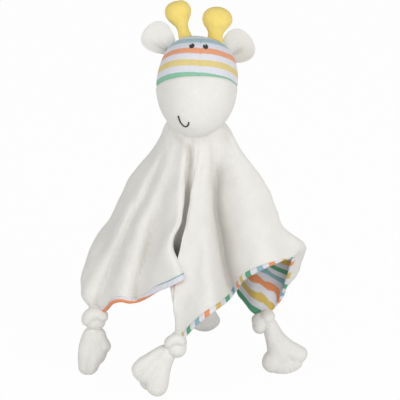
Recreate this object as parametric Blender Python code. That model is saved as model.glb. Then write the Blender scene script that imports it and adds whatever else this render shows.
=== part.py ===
"""Comfort blanket: a stuffed giraffe head sewn to the middle of a small square blanket.

The blanket hangs from the neck in long folds, and its four corners are tied into knots whose
flared ends reach the floor. Metres, +Z up, the face towards -Y. The origin is on the floor,
under the middle of the whole piece.
"""

from math import cos, pi, radians, sin, sqrt

import bmesh
import bpy
import numpy as np
from mathutils import Matrix, Vector

# Cloth, walls and gaps
CLEARANCE = 0.0003
VELOUR_WALL = 0.0009
LINING_WALL = 0.0005
HEAD_WALL = 0.0012
CUT_OVERRUN = 0.010

# Blanket
BLANKET_SIDE = 0.300
CORNER_CUT = 0.0072
CORNER_PULL = 0.060
CORNER_GATHER_SHARE = 0.45
NECK_PATCH_RADIUS = 0.0198
BINDING_DEPTH = 0.0033
BINDING_WALL = 0.0005
HEM_SHARES = (0.0, 0.12, 0.24, 0.36, 0.48, 0.60, 0.72, 0.85)
ROW_SHARES = (0.05, 0.13, 0.24, 0.40, 0.58, 0.76, 0.91)
PATCH_INNER_SHARE = 0.3
MITRE_LIMIT_SHARE = 0.6

FIRST_CORNER_DEGREES = 190.0

# The folds of the hem, seen from the neck: flat angle round the cloth, the compass
# direction and the angle from straight down. Corners are at 0, 90, 180 and 270.
FOLD_DEGREES = (
    (0, 190, 37.0),
    (5, 203, 33.0),
    (9.6, 215.3, 29.6),
    (13.5, 224.4, 24.9),
    (25, 245, 28.0),
    (31, 252, 29.0),
    (38, 247, 24.5),
    (45, 234, 18.0),
    (52, 213, 13.5),
    (58.5, 193, 10.3),
    (65, 205, 8.5),
    (73, 236, 11.8),
    (86, 249, 21.0),
    (90, 258, 23.5),
    (96, 266, 28.0),
    (103, 276, 30.0),
    (113, 297, 27.0),
    (122, 309, 38.0),
    (131, 322, 43.5),
    (139, 333, 44.5),
    (155, 336.5, 39.0),
    (165, 334.0, 33.0),
    (172, 334.0, 27.0),
    (180, 341, 19.5),
    (197, 362, 13.0),
    (212, 392, 24.0),
    (225, 408, 35.0),
    (240, 430, 36.0),
    (256, 440, 26.0),
    (270, 449, 20.5),
    (283, 457, 27.0),
    (298, 470, 35.0),
    (313, 486, 36.0),
    (328, 498, 31.0),
    (344, 520, 36.0),
)

# Neck
NECK_X = 0.0040
NECK_Y = 0.0045
NECK_RISE_SHARE = 0.893
NECK_TILT = 40.0
NECK_BALL_RADIUS = 0.0050
NECK_STANDOFF = 0.0020
NECK_STATION = 0.0138
COLLAR_RADIUS = 0.0080
COLLAR_TOP = 0.0008
COLLAR_BOTTOM = 0.0044
COLLAR_STEPS = 20

# Head: a turned egg whose crown leans back
HEAD_RADIUS = 0.0360
CROWN_LENGTH = 0.0446
MUZZLE_LENGTH = 0.0459
CROWN_FULLNESS = 2.5
MUZZLE_FULLNESS = 2.0
HEAD_X = 0.0044
HEAD_LEAN = 35.0
HEAD_ROLL = 4.0
HEAD_STEPS = 24
CAP_RINGS = 7
MUZZLE_RINGS = 8

# Eyes and smile
EYE_HALF_WIDTH = 0.0019
EYE_HALF_HEIGHT = 0.0025
EYE_WALL = 0.0008
EYE_DEGREES = (-18.0, 5.5)
EYE_STATION_SHARE = 0.66
THREAD_RADIUS = 0.0006
SMILE_STANDOFF = 0.0012
SMILE_DEGREES = (-42.0, -43.5, -42.5, -37.0, -25.5, -18.0)
SMILE_STATION_SHARES = (0.715, 0.795, 0.865, 0.890, 0.875, 0.820)

# Horns: a round-ended stalk and a knob, the left one thinner and longer
STALK_RADII = (0.0056, 0.0066)
WAIST_RADII = (0.0052, 0.0064)
WAIST_HEIGHT = 0.0130
KNOB_RADII = (0.0118, 0.0134)
KNOB_HALF_HEIGHT = 0.0098
KNOB_ARC_DEGREES = (-55.0, 80.0)
HORN_LENGTHS = (0.0365, 0.0320)
HORN_WALL = 0.0010
HORN_OPENING = 0.0020
HORN_FLATNESS_SHARE = 0.85
HORN_STEPS = 14
HORN_OFFSET = 0.0130
HORN_LEAN_DEGREES = (-19.0, 3.0)

# Ears: two leaves sewn edge to edge, cupped to the front
EAR_LENGTH = 0.0285
EAR_ROOT_HALF = 0.0080
EAR_HALF_WIDTH = 0.0140
EAR_LEAF_WALL = 0.0013
EAR_SEAM_WALL = 0.0005
EAR_SEAM_SHARE = 0.2
EAR_CUP = 0.0050
EAR_STANDOFFS = (0.0009, 0.0017)
EAR_WIDEST_SHARE = 0.45
EAR_TIP_SHARE = 0.97
EAR_LIFT = 34.0
EAR_TURN = 12.0
EAR_DEGREES = (-96.0, 124.0)
EAR_STATION_SHARES = (0.80, 0.79)
EAR_LENGTH_STEPS = 6
EAR_WIDTH_STEPS = 6

# Corner knots and their free ends
KNOT_RADIUS = 0.0105
KNOT_GROOVE = 0.0013
GROOVE_WAY_SHARES = (0.5, 0.3, 0.8)
GROOVE_WIDTH_SHARE = 0.45
GROOVE_END_SHARE = 0.35
KNOT_SEATS = (0.0007, 0.0013, 0.0013, 0.0005)
LEG_DROP = 0.0460
FOOT_SINK = 0.0005
TAIL_WAIST_HALF = 0.0068
TAIL_HALF_DEPTH = 0.0085
TAIL_CREASE_SHARE = 0.30
TAIL_FLARE_SHARE = 0.70
TAIL_CREASE_POWER = 6
TAIL_END_SHARE = 0.35
TAIL_ROW_SHARES = (0.0, 0.14, 0.28, 0.42, 0.56, 0.70, 0.82, 0.91, 0.97, 1.0)
TAIL_STEPS = 16
KNOT_RINGS = 9
KNOT_STEPS = 16

# One row per corner: name, knot compass direction, knot reach share, knot height share,
# foot compass direction, foot reach share, facing of the flare, and the rise of one lobe as
# a share (positive: the lobe a quarter turn on from the facing).
CORNER_SHARES = (
    ("left", 192.7, 0.424, 1.15, 193.2, 0.427, 275.0, 0.85),
    ("front", 260.3, 0.378, 0.95, 241.5, 0.440, 285.0, -1.45),
    ("right", 344.9, 0.292, 1.02, 348.0, 0.429, 262.0, 0.70),
    ("back", 83.8, 0.371, 1.00, 83.7, 0.390, 80.0, 0.30),
)
FLARE_HALVES = (0.0150, 0.0190, 0.0205, 0.0140)

HALF_SIDE = BLANKET_SIDE / 2
HALF_DIAGONAL = HALF_SIDE * sqrt(2)

CREAM = (0.84, 0.83, 0.80)
HORN_YELLOW = (0.90, 0.72, 0.22)
CAP_STRIPE = (0.86, 0.66, 0.52)
LINING_STRIPE = (0.66, 0.72, 0.74)
BINDING_STRIPE = (0.42, 0.66, 0.52)
FILLING = (0.90, 0.90, 0.88)
THREAD_BLACK = (0.02, 0.02, 0.02)
THREAD_GREY = (0.08, 0.08, 0.08)


def clear_scene():
    """Removes the startup objects."""
    for item in list(bpy.data.objects):
        bpy.data.objects.remove(item, do_unlink=True)


def cloth_material(name, colour, roughness=0.9):
    """A matt fabric finish of one colour."""
    material = bpy.data.materials.new(name)
    material.use_nodes = True
    shader = material.node_tree.nodes["Principled BSDF"]
    shader.inputs["Base Color"].default_value = (*colour, 1.0)
    shader.inputs["Roughness"].default_value = roughness
    shader.inputs["Metallic"].default_value = 0.0
    return material


def mesh_object(name, points, faces, material):
    """Makes an object of the points and faces, with its faces turned outwards."""
    mesh = bpy.data.meshes.new(name)
    mesh.from_pydata([tuple(map(float, p)) for p in points], [], [tuple(map(int, f)) for f in faces])
    shape = bmesh.new()
    shape.from_mesh(mesh)
    bmesh.ops.recalc_face_normals(shape, faces=shape.faces)
    shape.to_mesh(mesh)
    shape.free()
    mesh.shade_smooth()
    mesh.materials.append(material)
    item = bpy.data.objects.new(name, mesh)
    bpy.context.scene.collection.objects.link(item)
    return item


def turned(name, profile, steps, material, sweep=2 * pi):
    """Spins a closed (radius, height) profile about the local Z axis."""
    shape = bmesh.new()
    corners = [shape.verts.new((r, 0.0, z)) for r, z in profile]
    face = shape.faces.new(corners)
    edges = list(face.edges)
    whole = sweep == 2 * pi
    if whole:
        bmesh.ops.delete(shape, geom=[face], context="FACES_ONLY")
    spun = corners + edges if whole else [face] + corners + edges
    bmesh.ops.spin(
        shape, geom=spun, cent=(0, 0, 0), axis=(0, 0, 1), angle=sweep, steps=steps, use_merge=whole
    )
    bmesh.ops.remove_doubles(shape, verts=shape.verts, dist=CLEARANCE / 100)
    slivers = [f for f in shape.faces if f.calc_area() < CLEARANCE * CLEARANCE / 10000]
    if slivers:
        bmesh.ops.delete(shape, geom=slivers, context="FACES_ONLY")
    bmesh.ops.recalc_face_normals(shape, faces=shape.faces)
    mesh = bpy.data.meshes.new(name)
    shape.to_mesh(mesh)
    shape.free()
    mesh.shade_smooth()
    mesh.materials.append(material)
    item = bpy.data.objects.new(name, mesh)
    bpy.context.scene.collection.objects.link(item)
    return item


def cutter(item):
    """Marks an object as a helper that only cuts."""
    item.hide_render = True
    item.display_type = "WIRE"
    return item


def cut(item, tool):
    """Cuts the tool's shape out of the item."""
    boolean = item.modifiers.new("cut_" + tool.name, "BOOLEAN")
    boolean.operation = "DIFFERENCE"
    boolean.solver = "EXACT"
    boolean.object = tool


def compass(degrees, drop_degrees=None):
    """Unit vector at a compass angle, level or at an angle from straight down."""
    turn = np.radians(degrees)
    if drop_degrees is None:
        return np.array((np.cos(turn), np.sin(turn), np.zeros_like(turn)))
    drop = np.radians(drop_degrees)
    return np.array((np.sin(drop) * np.cos(turn), np.sin(drop) * np.sin(turn), -np.cos(drop)))


# Places that follow from the sizes

CORNERS = {
    name: {
        "knot": np.array((*(HALF_DIAGONAL * reach * compass(turn))[:2], LEG_DROP * height)),
        "foot": np.array((*(HALF_DIAGONAL * foot_reach * compass(foot_turn))[:2], -FOOT_SINK)),
        "facing": facing,
        "lift": lift,
        "flare": flare,
        "seat": seat,
    }
    for (name, turn, reach, height, foot_turn, foot_reach, facing, lift), flare, seat in zip(
        CORNER_SHARES, FLARE_HALVES, KNOT_SEATS
    )
}
CORNER_NAMES = tuple(CORNERS)
NECK = np.array((NECK_X, NECK_Y, LEG_DROP + NECK_RISE_SHARE * HALF_DIAGONAL))
NECK_UP = np.array((0.0, -sin(radians(NECK_TILT)), cos(radians(NECK_TILT))))
OUTER_FACE = CLEARANCE / 2 + VELOUR_WALL
INNER_FACE = CLEARANCE / 2 + LINING_WALL
NECK_CENTRE = NECK + NECK_UP * (OUTER_FACE + CLEARANCE + NECK_BALL_RADIUS)


def head_radius(station, shrink=0.0):
    """Radius of the egg at a height along its axis, all walls drawn in by shrink."""
    length = CROWN_LENGTH if station >= 0 else MUZZLE_LENGTH
    power = CROWN_FULLNESS if station >= 0 else MUZZLE_FULLNESS
    along = min(abs(station) / (length - shrink), 1.0)
    return (HEAD_RADIUS - shrink) * (1 - along**power) ** (1 / power)


def egg_curve(length, power, rings, shrink, first_station=0.0):
    """Points of one half of the egg's outline from first_station to its tip, (radius, height)."""
    reach = length - shrink
    first = (first_station / reach) ** (power / 2)
    angles = np.linspace(np.arcsin(first), pi / 2, rings + 1)
    radius = (HEAD_RADIUS - shrink) * np.cos(angles) ** (2 / power)
    height = reach * np.sin(angles) ** (2 / power)
    radius[-1] = 0.0
    return list(zip(radius, height))


HEAD_TURN = Matrix.Rotation(radians(HEAD_ROLL), 4, "Y") @ Matrix.Rotation(radians(-HEAD_LEAN), 4, "X")
HEAD_AXIS = np.array(HEAD_TURN.to_3x3() @ Vector((0, 0, 1)))
HEAD_BACK = np.array(HEAD_TURN.to_3x3() @ Vector((0, 1, 0)))
HEAD_CENTRE = (
    NECK_CENTRE
    + HEAD_AXIS * NECK_STATION
    - HEAD_BACK * (head_radius(-NECK_STATION) + NECK_STANDOFF)
)
HEAD_CENTRE[0] = HEAD_X
HEAD_FRAME = Matrix.Translation(Vector(HEAD_CENTRE)) @ HEAD_TURN


def head_point(degrees, station, lift=0.0):
    """Head-frame point on the egg at an angle from the front (positive to +X), and its normal."""
    around = radians(degrees)
    step = HEAD_RADIUS / 1000
    slope = (head_radius(station + step) - head_radius(station - step)) / (2 * step)
    outward = Vector((sin(around), -cos(around), -slope)).normalized()
    radius = head_radius(station)
    return Vector((radius * sin(around), -radius * cos(around), station)) + outward * lift, outward


# Blanket


def closed_spline(knots, values, at, period=360.0):
    """Cubic through the values at the knots, closed over the period."""
    knots = np.asarray(knots, float)
    values = np.asarray(values, float)
    ahead = np.concatenate((knots[1:], knots[:1] + period))
    behind = np.concatenate((knots[-1:] - period, knots[:-1]))
    slopes = (np.roll(values, -1, 0) - np.roll(values, 1, 0)) / (ahead - behind)[:, None]
    place = (np.searchsorted(knots, at, side="right") - 1) % len(knots)
    after = (place + 1) % len(knots)
    span = (ahead - knots)[place][:, None]
    t = (np.asarray(at) - knots[place])[:, None] / span
    return (
        (2 * t**3 - 3 * t**2 + 1) * values[place]
        + (t**3 - 2 * t**2 + t) * span * slopes[place]
        + (3 * t**2 - 2 * t**3) * values[after]
        + (t**3 - t**2) * span * slopes[after]
    )


def hem_columns():
    """Flat angle and flat reach of each column of the cloth, round the square with cut corners."""
    half = HEM_SHARES + (1 - sqrt(2) * CORNER_CUT / HALF_SIDE,)
    along = np.array([-share for share in half[:0:-1]] + list(half))
    angles, reaches = [], []
    for side in range(4):
        angles.append([90.0 * side])
        reaches.append([HALF_DIAGONAL - CORNER_CUT])
        angles.append(90.0 * side + 45.0 + np.degrees(np.arctan(along)))
        reaches.append(HALF_SIDE * np.sqrt(1 + along**2))
    return np.concatenate(angles), np.concatenate(reaches)


def ruled(angles, reach, distance):
    """Cloth point before the corners are drawn in: a flat patch, a bend, then a straight ruling."""
    table = np.array(FOLD_DEGREES, float)
    fall = compass(table[:, 1], table[:, 2]).T
    towards = closed_spline(table[:, 0], fall, angles)
    towards /= np.linalg.norm(towards, axis=1)[:, None]
    hem = NECK + reach[:, None] * towards
    level = compass(FIRST_CORNER_DEGREES + angles).T
    across = level.copy()
    across[:, 2] = -(level @ NECK_UP) / NECK_UP[2]
    across /= np.linalg.norm(across, axis=1)[:, None]
    ring = NECK + NECK_PATCH_RADIUS * across
    run = (hem - ring) / (reach - NECK_PATCH_RADIUS)[:, None]
    inner = PATCH_INNER_SHARE * NECK_PATCH_RADIUS
    outer = 2 * NECK_PATCH_RADIUS - inner
    bend = np.clip((distance - inner) / (outer - inner), 0, 1)[:, None]
    flat_end = NECK + inner * across
    run_start = ring + (outer - NECK_PATCH_RADIUS) * run
    arc = (1 - bend) ** 2 * flat_end + 2 * bend * (1 - bend) * ring + bend**2 * run_start
    flat = NECK + distance[:, None] * across
    straight = ring + (distance - NECK_PATCH_RADIUS)[:, None] * run
    chosen = np.where((distance < inner)[:, None], flat, arc)
    return np.where((distance > outer)[:, None], straight, chosen)


def cloth_points(angles, reach, distance):
    """Middle surface of the folded blanket at a distance in the cloth from the neck."""
    points = ruled(angles, reach, distance)
    flat_x = distance * np.cos(np.radians(angles))
    flat_y = distance * np.sin(np.radians(angles))
    for index, name in enumerate(CORNER_NAMES):
        corner_angle = np.array([90.0 * index])
        tip = np.array([HALF_DIAGONAL - CORNER_CUT])
        corner = ruled(corner_angle, tip, tip)[0]
        mouth = CORNERS[name]["knot"] + np.array((0, 0, KNOT_RADIUS + CORNERS[name]["seat"]))
        away = np.hypot(
            flat_x - HALF_DIAGONAL * cos(radians(90.0 * index)),
            flat_y - HALF_DIAGONAL * sin(radians(90.0 * index)),
        ) - CORNER_CUT
        loose = np.clip(away / CORNER_PULL, 0, 1)[:, None]
        pull = 1 - loose**2 * (3 - 2 * loose)
        gathered = mouth + CORNER_GATHER_SHARE * (points - corner)
        points = points + pull * (gathered - points)
    return points


def cloth_grid():
    """Rows of cloth points from the neck to the hem, and their outward normals, longer at folds."""
    angles, reach = hem_columns()
    distances = [share * reach for share in ROW_SHARES] + [reach - BINDING_DEPTH, reach]
    grid = np.array([cloth_points(angles, reach, distance) for distance in distances])
    down_way = np.gradient(grid, axis=0)
    ahead = np.cross(down_way, np.roll(grid, -1, 1) - grid)
    ahead /= np.linalg.norm(ahead, axis=2)[:, :, None]
    behind = np.cross(down_way, grid - np.roll(grid, 1, 1))
    behind /= np.linalg.norm(behind, axis=2)[:, :, None]
    normals = ahead + behind
    normals /= np.linalg.norm(normals, axis=2)[:, :, None]
    fold = (normals * ahead).sum(2)[:, :, None]
    return grid, normals / np.clip(fold, MITRE_LIMIT_SHARE, 1)


def layer(name, grid, normals, inside, outside, material):
    """A closed sheet between two offsets from the middle surface."""
    rows, columns = grid.shape[:2]
    points, faces = [], []
    for offset in (outside, inside):
        points.append((NECK + NECK_UP * offset)[None])
        points.append((grid + normals * offset).reshape(-1, 3))
    points = np.concatenate(points)
    half = rows * columns + 1

    def at(side, row, column):
        return side * half + 1 + row * columns + column % columns

    for side in (0, 1):
        for column in range(columns):
            faces.append((side * half, at(side, 0, column), at(side, 0, column + 1)))
            for row in range(rows - 1):
                a, b = at(side, row, column), at(side, row, column + 1)
                c, d = at(side, row + 1, column + 1), at(side, row + 1, column)
                faces.append((a, d, c))
                faces.append((a, c, b))
    for column in range(columns):
        a, b = at(0, rows - 1, column), at(0, rows - 1, column + 1)
        c, d = at(1, rows - 1, column + 1), at(1, rows - 1, column)
        faces.append((a, d, c))
        faces.append((a, c, b))
    return mesh_object(name, points, faces, material)


def binding(name, side, grid, normals, material):
    """A strip folded round one hem, ending short of the two corners."""
    per_side = 2 * len(HEM_SHARES) + 2
    columns = side * per_side + 2 + np.arange(per_side - 3)
    inner_row, edge = grid[-2, columns], grid[-1, columns]
    outward = (edge - inner_row) / BINDING_DEPTH
    outer_in, inner_in = OUTER_FACE + CLEARANCE, -INNER_FACE - CLEARANCE
    outer_out, inner_out = outer_in + BINDING_WALL, inner_in - BINDING_WALL
    over = CLEARANCE + BINDING_WALL
    heights = (inner_in, -INNER_FACE, -CLEARANCE / 2, CLEARANCE / 2, OUTER_FACE, outer_in)
    section = (
        (-2, 0, outer_out),
        (-1, over, outer_out),
        (-1, over, inner_out),
        (-2, 0, inner_out),
        (-2, 0, inner_in),
        *((-1, CLEARANCE, height) for height in heights),
        (-2, 0, outer_in),
    )
    rings = [
        grid[row, columns] + past * outward + height * normals[row, columns]
        for row, past, height in section
    ]
    points = np.stack(rings, 1).reshape(-1, 3)
    count = len(section)
    faces = []
    for step in range(len(columns) - 1):
        for k in range(count):
            a, b = step * count + k, step * count + (k + 1) % count
            if k in (0, 1, 4):
                faces.append((a, b, b + count))
                faces.append((a, b + count, a + count))
            else:
                faces.append((a, b, a + count))
                faces.append((b, b + count, a + count))
    last = (len(columns) - 1) * count
    for base in (0, last):
        faces.append((base, base + 1, base + count - 2, base + count - 1))
        faces.append((base + 1, base + 2, *range(base + 5, base + count - 1)))
        faces.append((base + 2, base + 3, base + 4, base + 5))
    return mesh_object(name, points, faces, material)


# Knots and free ends


def knot(name, corner, material):
    """A ball of tied cloth: a sphere with a slanting groove where the cloth crosses itself."""
    points = [(0.0, 0.0, KNOT_RADIUS)]
    slant = Vector(GROOVE_WAY_SHARES).normalized()
    for ring in range(1, KNOT_RINGS):
        tilt = pi * ring / KNOT_RINGS
        for step in range(KNOT_STEPS):
            turn = 2 * pi * step / KNOT_STEPS
            way = Vector((sin(tilt) * cos(turn), sin(tilt) * sin(turn), cos(tilt)))
            near = max(0.0, 1 - (way.dot(slant) / GROOVE_WIDTH_SHARE) ** 2)
            groove = KNOT_GROOVE * near * max(0.0, way.z + GROOVE_END_SHARE)
            points.append(tuple(way * (KNOT_RADIUS - groove)))
    points.append((0.0, 0.0, -KNOT_RADIUS))
    faces = []
    for step in range(KNOT_STEPS):
        after = (step + 1) % KNOT_STEPS
        faces.append((0, 1 + step, 1 + after))
        for ring in range(KNOT_RINGS - 2):
            a, b = 1 + ring * KNOT_STEPS + step, 1 + ring * KNOT_STEPS + after
            faces.append((a, a + KNOT_STEPS, b + KNOT_STEPS, b))
        low = 1 + (KNOT_RINGS - 2) * KNOT_STEPS
        faces.append((low + step, len(points) - 1, low + after))
    item = mesh_object(name, points, faces, material)
    item.location = corner["knot"]
    item.rotation_euler.z = radians(corner["facing"])
    return item


def tail(name, corner, material):
    """The flared free end below a knot: an oval loft with a crease down its face."""
    top, foot = corner["knot"], corner["foot"]
    across = np.array(compass(corner["facing"] + 90.0))
    face = np.array(compass(corner["facing"]))
    turns = 2 * pi * np.arange(TAIL_STEPS) / TAIL_STEPS
    points = []
    for share in TAIL_ROW_SHARES:
        opening = min(share / TAIL_FLARE_SHARE, 1.0)
        opening = opening * opening * (3 - 2 * opening)
        closing = sqrt(max(0.0, 1 - (max(0.0, share - TAIL_FLARE_SHARE) / (1 - TAIL_FLARE_SHARE)) ** 2))
        closing = max(closing, TAIL_END_SHARE)
        half = (TAIL_WAIST_HALF + (corner["flare"] - TAIL_WAIST_HALF) * opening) * closing
        depth = (TAIL_WAIST_HALF + (TAIL_HALF_DEPTH - TAIL_WAIST_HALF) * opening) * closing
        crease = 1 - TAIL_CREASE_SHARE * opening * np.clip(np.sin(turns), 0, 1) ** TAIL_CREASE_POWER
        side = half * np.cos(turns)
        out = depth * np.sin(turns) * crease
        beyond_foot = side * np.sign(corner["lift"]) - corner["flare"] * TAIL_END_SHARE
        rise = abs(corner["lift"]) * np.clip(beyond_foot, 0, None) * share
        middle = top + share * (foot - top)
        ring = middle + side[:, None] * across + out[:, None] * face
        ring[:, 2] += rise
        points.append(ring)
    points = np.array(points)
    rows = len(TAIL_ROW_SHARES)
    faces = []
    for row in range(rows - 1):
        for step in range(TAIL_STEPS):
            a, b = row * TAIL_STEPS + step, row * TAIL_STEPS + (step + 1) % TAIL_STEPS
            faces.append((a, b, b + TAIL_STEPS))
            faces.append((a, b + TAIL_STEPS, a + TAIL_STEPS))
    points = np.concatenate((points.reshape(-1, 3), [points[0].mean(0), points[-1].mean(0)])) - top
    last = rows * TAIL_STEPS
    for step in range(TAIL_STEPS):
        after = (step + 1) % TAIL_STEPS
        faces.append((step, after, last))
        faces.append((last - TAIL_STEPS + step, last - TAIL_STEPS + after, last + 1))
    item = mesh_object(name, points, faces, material)
    item.location = top
    socket = bpy.data.objects.new("socket_" + name, sphere_mesh(KNOT_RADIUS + CLEARANCE))
    socket.location = top
    bpy.context.scene.collection.objects.link(socket)
    cut(item, cutter(socket))
    cut(item, bpy.data.objects["floor_slab"])
    return item


def sphere_mesh(radius):
    """A plain ball, used for sockets."""
    shape = bmesh.new()
    bmesh.ops.create_uvsphere(shape, u_segments=24, v_segments=16, radius=radius)
    mesh = bpy.data.meshes.new("ball")
    shape.to_mesh(mesh)
    shape.free()
    return mesh


def floor_slab():
    """Cutter below the floor, wide enough for every foot."""
    shape = bmesh.new()
    bmesh.ops.create_cube(shape, size=1.0)
    bmesh.ops.scale(shape, vec=(BLANKET_SIDE * 2, BLANKET_SIDE * 2, CUT_OVERRUN), verts=shape.verts)
    bmesh.ops.translate(shape, vec=(0, 0, -CUT_OVERRUN / 2), verts=shape.verts)
    mesh = bpy.data.meshes.new("floor_slab")
    shape.to_mesh(mesh)
    shape.free()
    item = bpy.data.objects.new("floor_slab", mesh)
    bpy.context.scene.collection.objects.link(item)
    return cutter(item)


# Head


FRAMES = {}


def place(item, frame, carrier=None):
    """Puts the item at a frame in the world, carried by another object if one is given."""
    FRAMES[item.name] = frame
    item.parent = carrier
    item.matrix_basis = FRAMES[carrier.name].inverted() @ frame if carrier else frame
    return item


def pivot(name, frame, carrier=None):
    """An empty on a joint's axis, which carries the pieces that turn there."""
    item = bpy.data.objects.new(name, None)
    bpy.context.scene.collection.objects.link(item)
    return place(item, frame, carrier)


def head_shell(name, rings, length, power, downwards, first_station, sweep, material):
    """Wall of the crown or of the muzzle, from the seam to the tip."""
    outer = egg_curve(length, power, rings, 0.0, first_station)
    inner = egg_curve(length, power, rings, HEAD_WALL, first_station)
    profile = outer + inner[::-1]
    if downwards:
        profile = [(r, -z) for r, z in profile]
    steps = HEAD_STEPS if sweep == 2 * pi else HEAD_STEPS // 2
    return turned(name, profile, steps, material, sweep)


def build_head(nod, materials):
    """Stuffing, cap, muzzle, eyes, smile and gathered neck, all in the head's leaning frame."""
    shrink = HEAD_WALL + CLEARANCE
    upper = egg_curve(CROWN_LENGTH, CROWN_FULLNESS, CAP_RINGS, shrink)
    lower = egg_curve(MUZZLE_LENGTH, MUZZLE_FULLNESS, MUZZLE_RINGS, shrink)
    profile = upper[::-1] + [(r, -z) for r, z in lower[1:]]
    place(turned("head_stuffing", profile, HEAD_STEPS, materials["filling"]), HEAD_FRAME, nod)
    half_gap = CLEARANCE / 2
    for side, name in ((1, "cap_right_panel"), (-1, "cap_left_panel")):
        panel = head_shell(
            name, CAP_RINGS, CROWN_LENGTH, CROWN_FULLNESS, False, half_gap, pi, materials["cap"]
        )
        turn = Matrix.Rotation(radians(-90 * side), 4, "Z")
        place(panel, HEAD_FRAME @ Matrix.Translation((side * half_gap, 0, 0)) @ turn, nod)
    muzzle = head_shell(
        "muzzle_panel", MUZZLE_RINGS, MUZZLE_LENGTH, MUZZLE_FULLNESS, True, half_gap, 2 * pi,
        materials["cream"],
    )
    place(muzzle, HEAD_FRAME, nod)
    neck_ball(nod, materials["cream"])
    for name, degrees in zip(("left_eye", "right_eye"), EYE_DEGREES):
        eye(name, degrees, nod, materials["black"])
    smile(nod, materials["grey"])


def neck_ball(nod, material):
    """Gathered cloth under the head: a ball, with its top cut to the head."""
    ball = bpy.data.objects.new("neck_gather", sphere_mesh(NECK_BALL_RADIUS))
    bpy.context.scene.collection.objects.link(ball)
    ball.data.materials.append(material)
    place(ball, Matrix.Translation(Vector(NECK_CENTRE)), nod)
    grown = -CLEARANCE
    upper = egg_curve(CROWN_LENGTH, CROWN_FULLNESS, CAP_RINGS, grown)
    lower = egg_curve(MUZZLE_LENGTH, MUZZLE_FULLNESS, MUZZLE_RINGS * 2, grown)
    profile = upper[::-1] + [(r, -z) for r, z in lower[1:]]
    egg = turned("egg_cutter", profile, HEAD_STEPS * 2, material)
    cut(ball, cutter(place(egg, HEAD_FRAME, nod)))


def build_collar(material):
    """The stitched ring that stands on the blanket and holds the ball of the neck."""
    inner = NECK_BALL_RADIUS + CLEARANCE
    heights = np.linspace(-COLLAR_TOP, -COLLAR_BOTTOM, 5)
    profile = [(sqrt(inner**2 - h**2), h) for h in heights]
    profile += [(COLLAR_RADIUS, -COLLAR_BOTTOM), (COLLAR_RADIUS, -COLLAR_TOP)]
    collar = turned("neck_collar", profile, COLLAR_STEPS, material)
    lean = Matrix.Rotation(radians(NECK_TILT), 4, "X")
    return place(collar, Matrix.Translation(Vector(NECK_CENTRE)) @ lean)


def eye(name, degrees, nod, material):
    """A low oval of satin stitch, lying on the crown."""
    shape = bmesh.new()
    bmesh.ops.create_uvsphere(shape, u_segments=12, v_segments=6, radius=1.0)
    bmesh.ops.scale(shape, vec=(EYE_HALF_WIDTH, EYE_HALF_HEIGHT, EYE_WALL / 2), verts=shape.verts)
    mesh = bpy.data.meshes.new(name)
    shape.to_mesh(mesh)
    shape.free()
    mesh.shade_smooth()
    mesh.materials.append(material)
    item = bpy.data.objects.new(name, mesh)
    bpy.context.scene.collection.objects.link(item)
    spot, outward = head_point(degrees, EYE_STATION_SHARE * CROWN_LENGTH, EYE_WALL / 2 + CLEARANCE)
    turn = outward.to_track_quat("Z", "Y").to_matrix().to_4x4()
    place(item, HEAD_FRAME @ Matrix.Translation(spot) @ turn, nod)


def smile(nod, material):
    """A line of stitches along a short curve low on the muzzle."""
    curve = bpy.data.curves.new("smile_stitch", "CURVE")
    curve.dimensions = "3D"
    curve.bevel_depth = THREAD_RADIUS
    curve.bevel_resolution = 1
    curve.use_fill_caps = True
    line = curve.splines.new("POLY")
    line.points.add(len(SMILE_DEGREES) - 1)
    for point, degrees, share in zip(line.points, SMILE_DEGREES, SMILE_STATION_SHARES):
        spot, _ = head_point(degrees, -share * MUZZLE_LENGTH, SMILE_STANDOFF)
        point.co = (*spot, 1.0)
    curve.materials.append(material)
    item = bpy.data.objects.new("smile_stitch", curve)
    bpy.context.scene.collection.objects.link(item)
    place(item, HEAD_FRAME, nod)


# Horns


def horn_outline(which, shrink):
    """Outline of one horn from its round foot to its top, drawn in by shrink."""
    stalk, length = STALK_RADII[which], HORN_LENGTHS[which]
    foot = stalk - shrink
    opening = np.arcsin(HORN_OPENING / foot)
    points = [(foot * sin(a), stalk - foot * cos(a)) for a in np.linspace(opening, pi / 2, 4)]
    points.append((WAIST_RADII[which] - shrink, WAIST_HEIGHT))
    middle = length - KNOB_HALF_HEIGHT
    for a in np.radians(np.linspace(*KNOB_ARC_DEGREES, 7)):
        points.append(
            ((KNOB_RADII[which] - shrink) * cos(a), middle + (KNOB_HALF_HEIGHT - shrink) * sin(a))
        )
    points.append((0.0, length - shrink))
    return points


def horn(which, name, nod, materials):
    """A stuffed horn: a cover with a small opening at its foot, and its filling."""
    side, stalk = 2 * which - 1, STALK_RADII[which]
    centre, _ = head_point(90.0 * side, crown_station(HORN_OFFSET), stalk + CLEARANCE)
    lean = Matrix.Rotation(radians(HORN_LEAN_DEGREES[which]), 4, "Y")
    bend = pivot(name + "_pivot", HEAD_FRAME @ Matrix.Translation(centre) @ lean, nod)
    frame = FRAMES[bend.name] @ Matrix.Translation((0, 0, -stalk))
    flat = Matrix.Diagonal((1.0, HORN_FLATNESS_SHARE, 1.0, 1.0))
    wall = horn_outline(which, 0.0) + horn_outline(which, HORN_WALL)[::-1]
    cover = turned(name + "_cover", wall, HORN_STEPS, materials["yellow"])
    shrink = HORN_WALL + CLEARANCE
    inside = [(0.0, shrink)] + horn_outline(which, shrink)
    filling = turned(name + "_stuffing", inside, HORN_STEPS, materials["filling"])
    for item in (cover, filling):
        item.data.transform(flat)
        place(item, frame, bend)


def crown_station(offset):
    """Height on the crown where the egg's radius is offset."""
    share = 1 - (offset / HEAD_RADIUS) ** CROWN_FULLNESS
    return CROWN_LENGTH * share ** (1 / CROWN_FULLNESS)


# Ears


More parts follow.
